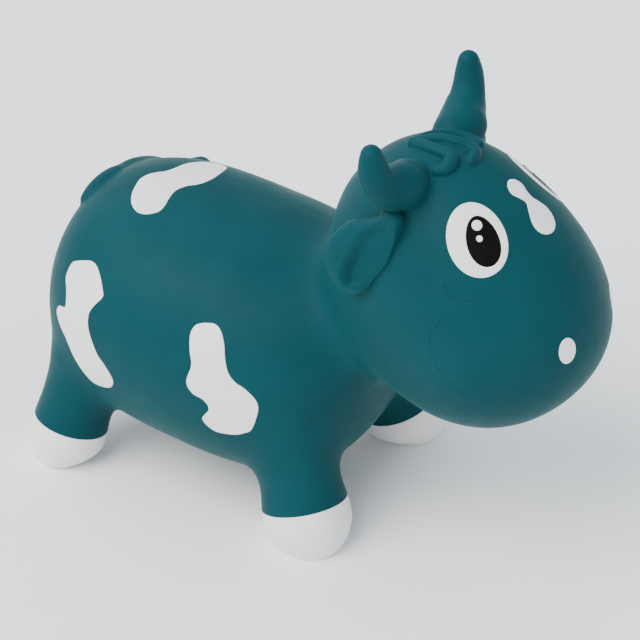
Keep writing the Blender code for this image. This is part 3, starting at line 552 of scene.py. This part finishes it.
EARS = Ear().feature()
BRIDGES = tube_feature(EAR_BRIDGE, [EAR_BRIDGE_RADIUS] * 2, EAR_FILLET, mirrored=True)
HORNS = horn_feature()
BULBS = tube_feature(HORN_BULB, [HORN_BULB_RADIUS] * 2, BULB_FILLET, mirrored=True)
STRANDS = [surface_tube(HEAD, strand, STRAND_STEPS, STRAND_FILLET, -STRAND_PROUD_SHARE)
           for strand in FORELOCK]
TAIL = [surface_tube(TORSO, rows, TAIL_STEPS, fillet, buried_share)
        for rows, fillet, buried_share in ((TAIL_SWELL, TAIL_SWELL_FILLET, TAIL_SWELL_BURIED_SHARE),
                                           (TAIL_RUN, TAIL_FILLET, TAIL_BURIED_SHARE),
                                           (TAIL_ROOT, TAIL_ROOT_FILLET, TAIL_BURIED_SHARE))]
LINES = [surface_tube(HEAD, line, LINE_STEPS, GROOVE_FILLET, -LINE_PROUD_SHARE, radius,
                      mirrored=True, carved=True)
         for line, radius in ((CHEEK_LINE, CHEEK_LINE_RADIUS), (MOUTH_LINE, MOUTH_LINE_RADIUS))]
FEATURES = [HORNS, BULBS, BRIDGES, EARS, *STRANDS, *TAIL, *LINES]
SMALL_FORMS = [EARS, *STRANDS, *LINES]


def plain_field(points):
    """Return the field of the torso and the head alone."""
    return merge(TORSO.field(points), HEAD.field(points), NECK_FILLET)


def skin_field(points):
    """Return the field of the skin without the legs."""
    value = plain_field(points)
    for feature in FEATURES:
        feature.apply(points, value)
    return value


def grid_values(field, axes):
    """Return a field's values on a grid, worked out slice by slice."""
    values = np.empty([len(axis) for axis in axes], np.float32)
    ys, zs = np.meshgrid(axes[1], axes[2], indexing="ij")
    for k, x in enumerate(axes[0]):
        points = np.column_stack([np.full(ys.size, x), ys.ravel(), zs.ravel()])
        values[k] = field(points).reshape(ys.shape)
    return values


def crossings_middle(values, cells, corners):
    """Return the middle of the points where the surface crosses a cell's edges, for each cell."""
    place = np.zeros((len(cells), 3))
    hits = np.zeros(len(cells))
    for a in corners:
        for axis in range(3):
            if a[axis]:
                continue
            b = tuple(1 if m == axis else a[m] for m in range(3))
            va = values[tuple((cells + a).T)]
            vb = values[tuple((cells + b).T)]
            crossed = (va < 0) != (vb < 0)
            share = np.where(crossed, va / np.where(crossed, va - vb, 1), 0)
            spot = np.array(a) + share[:, None] * (np.array(b) - np.array(a))
            place += np.where(crossed[:, None], spot, 0)
            hits += crossed
    return place / hits[:, None]


def faces_across(inside, number, axis):
    """Return the faces across the grid edges along one axis that the surface crosses."""
    shape = inside.shape
    u, v = (axis + 1) % 3, (axis + 2) % 3
    first = np.take(inside, range(shape[axis] - 1), axis)
    second = np.take(inside, range(1, shape[axis]), axis)
    edges = np.argwhere(first != second)
    edges = edges[(edges[:, u] > 0) & (edges[:, v] > 0)]
    edges = edges[(edges[:, u] < shape[u] - 1) & (edges[:, v] < shape[v] - 1)]
    around = []
    for du, dv in ((1, 1), (0, 1), (0, 0), (1, 0)):
        cell = edges.copy()
        cell[:, u] -= du
        cell[:, v] -= dv
        around.append(number[tuple(cell.T)])
    quads = np.column_stack(around)
    flipped = ~first[tuple(edges.T)]
    quads[flipped] = quads[flipped][:, ::-1]
    return quads


def surface_net(field, low, high, step):
    """Mesh a field's surface: a vertex in each grid cell that it crosses, and faces across its edges."""
    axes = [np.arange(start, end + step, step) for start, end in zip(low, high)]
    values = grid_values(field, axes)
    inside = values < 0
    corners = [(i, j, k) for i in (0, 1) for j in (0, 1) for k in (0, 1)]
    nx, ny, nz = (size - 1 for size in inside.shape)
    count = sum(inside[i:nx + i, j:ny + j, k:nz + k].astype(np.int8) for i, j, k in corners)
    active = (count > 0) & (count < len(corners))
    cells = np.argwhere(active)
    number = np.full(active.shape, -1)
    number[active] = np.arange(len(cells))
    verts = np.array(low) + step * (cells + crossings_middle(values, cells, corners))
    return verts, np.vstack([faces_across(inside, number, axis) for axis in range(3)])


def link_mesh(name, mesh):
    """Put a mesh in the scene as an object."""
    made = bpy.data.objects.new(name, mesh)
    bpy.context.collection.objects.link(made)
    return made


def mesh_object(name, verts, faces):
    """Make an object from vertices and faces."""
    mesh = bpy.data.meshes.new(name)
    mesh.from_pydata([tuple(point) for point in verts], [], [tuple(int(i) for i in face) for face in faces])
    mesh.shade_smooth()
    return link_mesh(name, mesh)


@contextlib.contextmanager
def editing(mesh):
    """Open a mesh for editing and write the result back."""
    bm = bmesh.new()
    bm.from_mesh(mesh)
    yield bm
    bm.to_mesh(mesh)
    bm.free()


def vertex_array(mesh):
    """Return a mesh's vertices as an array."""
    flat = np.empty(len(mesh.vertices) * 3, np.float32)
    mesh.vertices.foreach_get("co", flat)
    return flat.reshape(-1, 3).astype(float)


def set_vertices(mesh, points):
    """Move a mesh's vertices."""
    mesh.vertices.foreach_set("co", np.asarray(points, np.float32).ravel())
    mesh.update()


def refine(piece, field, holds, limit):
    """Split the faces of one area in four and settle its vertices on the field."""
    mesh = piece.data
    chosen = holds(vertex_array(mesh))
    with editing(mesh) as bm:
        edges = [edge for edge in bm.edges if chosen[edge.verts[0].index] and chosen[edge.verts[1].index]]
        bmesh.ops.subdivide_edges(bm, edges=edges, cuts=1, use_grid_fill=True)
    points = vertex_array(mesh)
    picked = holds(points)
    points[picked] = settle(field, points[picked], limit)
    set_vertices(mesh, points)


def near_surfaces_of(features, margin):
    """Return a test for points close to the own surface of any of some features."""
    def holds(points):
        close = np.zeros(len(points), bool)
        for feature in features:
            local = feature.own_side(points)
            near = feature.near(local)
            close[near] |= np.abs(feature.shape(local[near])) < margin
        return close
    return holds


def build_skin():
    """Make the skin of the body, head, horns, ears, forelock and tail in one piece."""
    low = np.array(CAD_BOX[0]) - SKIN_GRID_MARGIN
    high = np.array(CAD_BOX[1]) + SKIN_GRID_MARGIN
    low[2] = SKIN_GRID_FLOOR
    verts, faces = surface_net(skin_field, low, high, SKIN_STEP)
    verts = settle(skin_field, verts, SKIN_STEP / SETTLE_PARTS)
    skin = mesh_object("body_skin", verts, faces)
    for margin, limit in REFINEMENTS:
        refine(skin, skin_field, near_surfaces_of(SMALL_FORMS, margin), limit)
    return skin


def circle(centre, side, over, radius):
    """Return a ring of points round a centre, in the plane of two directions."""
    turns = np.linspace(0, 2 * math.pi, RING_SIDES, endpoint=False)
    return [centre + radius * (side * math.cos(turn) + over * math.sin(turn)) for turn in turns]


class Leg:
    """One leg and its hoof, round about a straight line from the foot to the hip."""

    def __init__(self, end, side):
        (foot_x, foot_y), (lean_x, lean_y), self.hoof_radius, self.ankle_radius = LEG_SHAPES[end]
        self.foot = np.array([foot_x, side * foot_y, 0])
        self.lean = np.array([lean_x, -side * lean_y, 1.0])
        self.axis = unit(self.lean)

    def centre(self, height):
        """Return the point on the leg's line at a height."""
        return self.foot + self.lean * height

    def radius(self, height):
        """Return the radius at heights: a rounded hoof, a narrower ankle and a slight swell to the hip."""
        drop = np.clip(1 - height / HOOF_BULGE_HEIGHT, 0, 1)
        climb = np.clip((height - HOOF_BULGE_HEIGHT) / (ANKLE_HEIGHT - HOOF_BULGE_HEIGHT), 0, 1)
        blend = (1 - np.cos(math.pi * climb)) / 2
        rise = np.clip((height - ANKLE_HEIGHT) / (HIP_HEIGHT - ANKLE_HEIGHT), 0, None)
        return (self.hoof_radius - SOLE_INSET * drop ** 2
                + (self.ankle_radius - self.hoof_radius) * blend + HIP_SWELL * rise ** 2)

    def heights(self, points):
        """Return the heights at which points lie beside the leg's line."""
        return (points - self.foot) @ self.axis / np.linalg.norm(self.lean)

    def field(self, points):
        """Return the distance of points from the leg, which ends inside the torso."""
        height = np.minimum(self.heights(points), LEG_END_HEIGHT)
        gap = np.linalg.norm(points - self.foot - height[:, None] * self.lean, axis=1)
        return gap - self.radius(height)

    def flared(self, points):
        """Return the field of the leg with the fillet that carries it into the torso's skin."""
        return merge(plain_field(points), self.field(points), LEG_FILLET)

    def plug(self, points):
        """Return the flared leg, cut off outside its fillet and sunk under the skin towards the cut."""
        beyond = self.field(points) - (LEG_FILLET + FLARE_MARGIN)
        above = (self.heights(points) - LEG_TOP_HEIGHT) * np.linalg.norm(self.lean)
        cut = np.maximum(beyond, above)
        sink = FLARE_SINK + FLARE_END_SINK * ease(1 + cut / FLARE_FADE)
        return np.maximum(self.flared(points) + sink, cut)

    def ring(self, height):
        """Return a ring, level at the sole and square to the leg from the hoof's bulge up."""
        tilt = min(1.0, height / HOOF_BULGE_HEIGHT)
        heading = unit(self.axis * tilt + UP * (1 - tilt))
        side = unit(np.cross(LEFT, heading))
        radius = float(self.radius(np.array(height)))
        return circle(self.centre(height), side, np.cross(heading, side), radius)


LEGS = {end + "_" + hand: Leg(end, side) for end in ("front", "rear") for hand, side in SIDES}


def whole_field(points):
    """Return the field of the skin with its legs, by which both are shaded and painted."""
    value = skin_field(points)
    for leg in LEGS.values():
        value = merge(value, leg.field(points), LEG_FILLET)
    return value


def shade(piece):
    """Shade a piece of the skin by the whole field's own slope, apart from its cut faces."""
    mesh = piece.data
    points = vertex_array(mesh)
    slopes = slope_of(whole_field, points)
    normals = []
    for face in mesh.polygons:
        plain = np.array(face.normal)
        for vertex in face.vertices:
            slope = slopes[vertex]
            normals.append(tuple(slope if slope @ plain > CUT_FACE_COSINE else plain))
    mesh.normals_split_custom_set(normals)


def build_leg(name, leg):
    """Make a leg with its flare, ending square at the edge of the hoof's paint."""
    reach = leg.hoof_radius + LEG_FILLET + FLARE_MARGIN + LEG_GRID_MARGIN
    ends = np.array([leg.centre(HOOF_PAINT_HEIGHT), leg.centre(LEG_TOP_HEIGHT)])
    low, high = ends.min(axis=0) - reach, ends.max(axis=0) + reach
    low[2] = max(low[2], LEG_GRID_FLOOR)
    verts, faces = surface_net(leg.plug, low, high, LEG_STEP)
    verts = settle(leg.plug, verts, LEG_STEP / SETTLE_PARTS)
    piece = mesh_object("leg_skin_" + name, verts, faces)
    cut_point = leg.centre(HOOF_PAINT_HEIGHT + LEG_SEAM)
    with editing(piece.data) as bm:
        bmesh.ops.bisect_plane(bm, geom=bm.verts[:] + bm.edges[:] + bm.faces[:], plane_co=Vector(cut_point),
                               plane_no=Vector(leg.axis), clear_inner=True, dist=LEG_CUT_TOLERANCE)
        open_edges = [edge for edge in bm.edges if edge.is_boundary]
        bmesh.ops.holes_fill(bm, edges=open_edges)
        bmesh.ops.recalc_face_normals(bm, faces=bm.faces)
        for edge in open_edges:
            if edge.is_valid:
                edge.smooth = False
    return piece


def loft(name, rings):
    """Skin a list of rings and close both ends flat."""
    mesh = bpy.data.meshes.new(name)
    with editing(mesh) as bm:
        rows = [[bm.verts.new(point) for point in ring] for ring in rings]
        for lower, upper in zip(rows, rows[1:]):
            for i in range(RING_SIDES):
                j = (i + 1) % RING_SIDES
                bm.faces.new((lower[i], lower[j], upper[j], upper[i]))
        for row in (rows[0], rows[-1]):
            bm.faces.new(row)
        bmesh.ops.recalc_face_normals(bm, faces=bm.faces)
    mesh.shade_smooth()
    mesh.set_sharp_from_angle(angle=math.radians(SHARP_EDGE_DEG))
    return link_mesh(name, mesh)


def build_hoof(name, leg):
    """Make a hoof: a rounded cup with a flat sole, its rings closer together at the sole."""
    heights = HOOF_PAINT_HEIGHT * np.linspace(0, 1, HOOF_RINGS) ** HOOF_RING_POWER
    return loft("hoof_paint_" + name, [leg.ring(height) for height in heights])


def inward_of(outline):
    """Return the directions that point inwards at the points of a flat outline."""
    inward = np.array([unit(np.cross(UP, [*(after - before), 0]))[:2] for before, after
                       in zip(np.roll(outline, 1, axis=0), np.roll(outline, -1, axis=0))])
    if np.mean(np.sum(inward * (outline.mean(axis=0) - outline), axis=1)) < 0:
        inward = -inward
    return inward


def fill_outline(outline):
    """Fill a flat outline with triangles on a staggered grid, and a second row of points along its edge.

    Returns the points, the triangles and the numbers of the points on the outline.
    """
    low, high = outline.min(axis=0), outline.max(axis=0)
    xs = np.arange(low[0], high[0], PAINT_STEP)
    ys = np.arange(low[1], high[1], PAINT_STEP * PAINT_ROW_SHARE)
    grid = np.array([(x + (j % 2) * PAINT_STEP / 2, y) for j, y in enumerate(ys) for x in xs])
    grid = grid[inside_outline(grid, outline)]
    rim_width = min(PAINT_RIM, (high - low).min() / PAINT_RIM_PARTS)
    rim = outline + inward_of(outline) * rim_width * PAINT_RIM_SHARE
    flat = np.vstack([outline, rim, grid[outline_distance(grid, outline) > rim_width]])
    count = len(outline)
    edges = [(i, (i + 1) % count) for i in range(count)]
    verts, _, faces, origin, _, _ = delaunay_2d_cdt([Vector(p) for p in flat], edges, [], 1, PAINT_MERGE)
    border = [next(k for k, kept in enumerate(origin) if i in kept) for i in range(count)]
    return np.array([tuple(p) for p in verts]), [tuple(face) for face in faces], border


def film(name, outline, to_space, coat):
    """Make a thin coat of paint over the part of the skin that a flat outline encloses."""
    flat, triangles, border = fill_outline(np.array(outline))
    ground = np.array([to_space(x, y) for x, y in flat])
    ground = settle(whole_field, ground, PAINT_SETTLE_LIMIT, PAINT_SETTLE_ROUNDS)
    normals = slope_of(whole_field, ground)
    height = np.full(len(flat), coat)
    height[border] = coat - PAINT_EDGE_DROP_SHARE * PAINT_HEIGHT
    top = ground + normals * height[:, None]
    bottom = ground - normals * PAINT_HEIGHT
    size = len(flat)
    under = [tuple(i + size for i in reversed(face)) for face in triangles]
    walls = [(a, b, b + size, a + size) for a, b in zip(border, border[1:] + border[:1])]
    made = mesh_object(name, np.vstack([top, bottom]), triangles + under + walls)
    with editing(made.data) as bm:
        bmesh.ops.recalc_face_normals(bm, faces=bm.faces)
    return made


def patch(name, section, places, side):
    """Make a patch from an outline of places on a section."""
    radius = (section.half[1] + section.half[2]) / 2
    rows = smooth_curve(places, PATCH_STEPS, closed=True)
    outline = np.column_stack([rows[:, 0] * section.half[0], np.radians(rows[:, 1]) * radius])

    def to_space(x, y):
        round_deg = math.degrees(y / radius)
        return section.point(x / section.half[0], round_deg if side < 0 else 180 - round_deg)

    return film(name, outline, to_space, PAINT_HEIGHT)


def oval(name, shape, side, coat):
    """Make an oval of face paint."""
    along, round_deg, half_length, half_width, tilt_deg, egg_share = shape
    if side > 0:
        round_deg = 180 - round_deg
    centre = HEAD.point(along, round_deg)
    ahead = unit(HEAD.point(along + NUDGE, round_deg) - centre)
    normal = slope_of(HEAD.field, centre[None])[0]
    around = unit(np.cross(normal, ahead)) * side
    if (HEAD.point(along, round_deg - side) - centre) @ around < 0:
        around = -around
    tilt = math.radians(tilt_deg)
    count = OVAL_POINTS if half_length > SMALL_OVAL else SMALL_OVAL_POINTS
    outline = []
    for turn in np.linspace(0, 2 * math.pi, count, endpoint=False):
        x = half_length * math.cos(turn)
        y = half_width * math.sin(turn) * (1 + egg_share * math.cos(turn))
        outline.append((x * math.cos(tilt) - y * math.sin(tilt), x * math.sin(tilt) + y * math.cos(tilt)))
    return film(name, outline, lambda x, y: centre + ahead * x + around * y, coat)


class Finish:
    """A procedural material with short calls for its nodes."""

    def __init__(self, name):
        self.material = bpy.data.materials.new(name)
        self.material.use_nodes = True
        self.nodes = self.material.node_tree.nodes
        self.links = self.material.node_tree.links
        self.shader = self.nodes["Principled BSDF"]
        self.place = self.nodes.new("ShaderNodeTexCoord").outputs["Object"]

    def noise(self, scale, detail=2.0, roughness=0.5):
        """Add a noise texture and return its value."""
        node = self.nodes.new("ShaderNodeTexNoise")
        node.inputs["Scale"].default_value = scale
        node.inputs["Detail"].default_value = detail
        node.inputs["Roughness"].default_value = roughness
        self.links.new(self.place, node.inputs["Vector"])
        return node.outputs["Fac"]

    def tint(self, noise, tones):
        """Let the colour change between two tones by a noise."""
        node = self.nodes.new("ShaderNodeValToRGB")
        for element, place, tone in zip(node.color_ramp.elements, (NOISE_LOW, NOISE_HIGH), tones):
            element.position = place
            element.color = (*tone, 1)
        self.links.new(noise, node.inputs["Fac"])
        self.links.new(node.outputs["Color"], self.shader.inputs["Base Color"])

    def roughen(self, noise, smoothest, roughest):
        """Let the roughness change between two values by a noise."""
        node = self.nodes.new("ShaderNodeMapRange")
        for key, number in (("From Min", NOISE_LOW), ("From Max", NOISE_HIGH),
                            ("To Min", smoothest), ("To Max", roughest)):
            node.inputs[key].default_value = number
        self.links.new(noise, node.inputs["Value"])
        self.links.new(node.outputs["Result"], self.shader.inputs["Roughness"])

    def bump(self, noise, distance, strength, under=None):
        """Add a bump by a noise, over another bump if one is given."""
        node = self.nodes.new("ShaderNodeBump")
        node.inputs["Distance"].default_value = distance
        node.inputs["Strength"].default_value = strength
        self.links.new(noise, node.inputs["Height"])
        if under is not None:
            self.links.new(under, node.inputs["Normal"])
        return node.outputs["Normal"]

    def grain(self, noise, distance, strength, under=None):
        """Add the finest bump and lead it to the shader."""
        self.links.new(self.bump(noise, distance, strength, under), self.shader.inputs["Normal"])

    def set(self, **values):
        """Set constants on the shader's own sockets."""
        for key, value in values.items():
            self.shader.inputs[key.replace("_", " ")].default_value = value


def teal_vinyl():
    """Satin-matt moulded vinyl: slow changes of tone, an orange-peel surface and a soft haze."""
    finish = Finish("teal_vinyl_moulded")
    finish.tint(finish.noise(scale=11.0, detail=3.0, roughness=0.55), TEAL)
    finish.roughen(finish.noise(scale=55.0, detail=3.0), smoothest=0.46, roughest=0.56)
    orange_peel = finish.bump(finish.noise(scale=38.0), distance=0.0011, strength=0.35)
    finish.grain(finish.noise(scale=950.0, detail=3.0, roughness=0.6), distance=0.00012, strength=0.22,
                 under=orange_peel)
    finish.set(Sheen_Weight=0.07, Sheen_Roughness=0.35, Sheen_Tint=(0.25, 0.85, 0.62, 1),
               Specular_IOR_Level=0.05)
    return finish.material


def white_paint():
    """White paint sprayed on the vinyl: a little off-white where it is thin."""
    finish = Finish("white_paint_sprayed")
    finish.tint(finish.noise(scale=30.0, detail=3.0), WHITE)
    finish.roughen(finish.noise(scale=80.0), smoothest=0.44, roughest=0.54)
    finish.grain(finish.noise(scale=900.0, detail=3.0, roughness=0.6), distance=0.00010, strength=0.22)
    finish.set(Specular_IOR_Level=0.4)
    return finish.material


def black_paint():
    """Black paint of the pupils, slightly warm."""
    finish = Finish("black_paint_sprayed")
    finish.tint(finish.noise(scale=60.0), BLACK)
    finish.roughen(finish.noise(scale=90.0), smoothest=0.36, roughest=0.46)
    finish.grain(finish.noise(scale=900.0, detail=3.0, roughness=0.6), distance=0.00008, strength=0.2)
    finish.set(Specular_IOR_Level=0.05)
    return finish.material


def milky_vinyl():
    """Milky clear vinyl of the valve stopper."""
    finish = Finish("milky_vinyl")
    finish.tint(finish.noise(scale=120.0), MILKY)
    finish.roughen(finish.noise(scale=200.0), smoothest=0.30, roughest=0.42)
    finish.grain(finish.noise(scale=700.0), distance=0.00008, strength=0.2)
    finish.set(Subsurface_Weight=0.25, Subsurface_Scale=0.004, Coat_Weight=0.1)
    return finish.material


def floor_finish():
    """Pale matt floor."""
    finish = Finish("studio_floor")
    finish.tint(finish.noise(scale=3.0), FLOOR_GREY)
    finish.set(Roughness=0.9, Specular_IOR_Level=0.1)
    return finish.material


def dress(piece, material, slot):
    """Give a piece its material; the slot is not used."""
    piece.data.materials.clear()
    piece.data.materials.append(material)


def cut_valve_pocket(skin):
    """Open the skin where the valve seat is moulded in."""
    place = TORSO.point(*VALVE_PLACE)
    out = slope_of(TORSO.field, place[None])[0]
    side = unit(np.cross(out, LEFT))
    over = np.cross(out, side)
    cutter = loft("valve_pocket", [circle(place + out * reach, side, over, VALVE_POCKET_RADIUS)
                                   for reach in (-VALVE_POCKET_DEPTH, VALVE_POCKET_DEPTH)])
    modifier = skin.modifiers.new("valve_pocket", "BOOLEAN")
    modifier.operation = "DIFFERENCE"
    modifier.solver = "EXACT"
    modifier.object = cutter
    evaluated = skin.evaluated_get(bpy.context.evaluated_depsgraph_get())
    mesh = bpy.data.meshes.new_from_object(evaluated)
    skin.modifiers.clear()
    skin.data = mesh
    bpy.data.objects.remove(cutter)


def add_sun(name, origin, spread_deg, strength, colour):
    """Add a broad, soft light that shines from a direction."""
    light = bpy.data.lights.new(name, "SUN")
    light.angle = math.radians(spread_deg)
    light.energy = strength
    light.color = colour
    lamp = bpy.data.objects.new(name, light)
    lamp.rotation_mode = "QUATERNION"
    lamp.rotation_quaternion = (-Vector(origin)).to_track_quat("-Z", "Y")
    bpy.context.collection.objects.link(lamp)


def build_surroundings():
    """Make the soft light that comes from all round."""
    world = bpy.data.worlds.new("studio")
    bpy.context.scene.world = world
    world.use_nodes = True
    nodes, links = world.node_tree.nodes, world.node_tree.links
    height = nodes.new("ShaderNodeSeparateXYZ")
    links.new(nodes.new("ShaderNodeTexCoord").outputs["Generated"], height.inputs["Vector"])
    sky = nodes.new("ShaderNodeValToRGB")
    for element, colour in zip(sky.color_ramp.elements, (HORIZON, OVERHEAD)):
        element.color = colour
    links.new(height.outputs["Z"], sky.inputs["Fac"])
    links.new(sky.outputs["Color"], nodes["Background"].inputs["Color"])
    nodes["Background"].inputs["Strength"].default_value = SKY_STRENGTH


def build_stage():
    """Make the pale floor and the studio light."""
    build_surroundings()
    add_sun("key", *KEY_LIGHT)
    add_sun("fill", *FILL_LIGHT)
    bpy.ops.mesh.primitive_grid_add(x_subdivisions=2, y_subdivisions=2, size=FLOOR_SIZE, location=(0, 0, 0))
    floor = bpy.context.object
    floor.name = "floor"
    floor.data.materials.append(floor_finish())


def build_camera():
    """Make the camera that stands where the photograph was taken."""
    camera = bpy.data.cameras.new("camera")
    camera.lens = CAMERA_LENS
    camera.sensor_width = CAMERA_SENSOR
    body = bpy.data.objects.new("camera", camera)
    body.location = CAMERA_PLACE
    heading = Vector((-math.sin(CAMERA_YAW) * math.cos(CAMERA_PITCH),
                      math.cos(CAMERA_YAW) * math.cos(CAMERA_PITCH), -math.sin(CAMERA_PITCH)))
    body.rotation_mode = "QUATERNION"
    body.rotation_quaternion = heading.to_track_quat("-Z", "Y")
    bpy.context.collection.objects.link(body)
    bpy.context.scene.camera = body


def build_legs(teal, white):
    """Make the legs and the hooves."""
    for name, leg in LEGS.items():
        tube = build_leg(name, leg)
        shade(tube)
        dress(tube, teal, "teal_vinyl")
        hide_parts("leg_" + name)
        start = leg.centre(HOOF_PAINT_HEIGHT + 2 * LEG_SEAM)
        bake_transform(tube)
        hoof = build_hoof(name, leg)
        dress(hoof, white, "white_paint")
        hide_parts("hoof_" + name)
        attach(hoof, "feet")


def lay_paint(piece, material, slot, node):
    """Finish a film of paint, which rides on the body in place of a CAD node."""
    dress(piece, material, slot)
    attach(piece, "ride_body")
    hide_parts(node)


def paint_face(white, black):
    """Paint the eyes and the nostrils."""
    marks = (("eye_white", EYE_WHITE, 1, white, "white_paint"),
             ("pupil", PUPIL, 2, black, "black_paint"),
             ("glint_upper", GLINT_UPPER, 3, white, "white_paint"),
             ("glint_lower", GLINT_LOWER, 3, white, "white_paint"),
             ("nostril", NOSTRIL, 1, white, "white_paint"))
    for hand, side in SIDES:
        for mark, shape, coats, material, slot in marks:
            node = "%s_%s" % (mark, hand)
            lay_paint(oval("paint_" + node, shape, side, PAINT_HEIGHT * coats), material, slot, node)


def paint_patches(white):
    """Paint the back, the forehead, the rump and the flanks."""
    patches = [("back", TORSO, BACK_PATCH, -1), ("forehead", HEAD, FOREHEAD_SPOT, -1)]
    for hand, side in SIDES:
        patches.append(("rump_" + hand, TORSO, RUMP_PATCH if side < 0 else LEFT_RUMP_PATCH, side))
        patches.append(("flank_" + hand, TORSO, FLANK_PATCH, side))
    for name, section, places, side in patches:
        lay_paint(patch("paint_" + name, section, places, side), white, "white_paint", "patch_" + name)


def build():
    """Build the pieces, their finishes and the stage."""
    teal, white, black, milky = teal_vinyl(), white_paint(), black_paint(), milky_vinyl()
    build_camera()
    skin = build_skin()
    cut_valve_pocket(skin)
    shade(skin)
    dress(skin, teal, "teal_vinyl")
    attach(skin, "ride_body")
    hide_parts("torso_skin", "head_skin", "horn_right", "horn_left", "ear_right", "ear_left",
                "forelock", "tail")
    build_legs(teal, white)
    paint_face(white, black)
    paint_patches(white)
    for node, material in (("valve_seat", teal), ("valve_plug", milky)):
        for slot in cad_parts[node].material_slots:
            slot.material = material
    build_stage()


build()
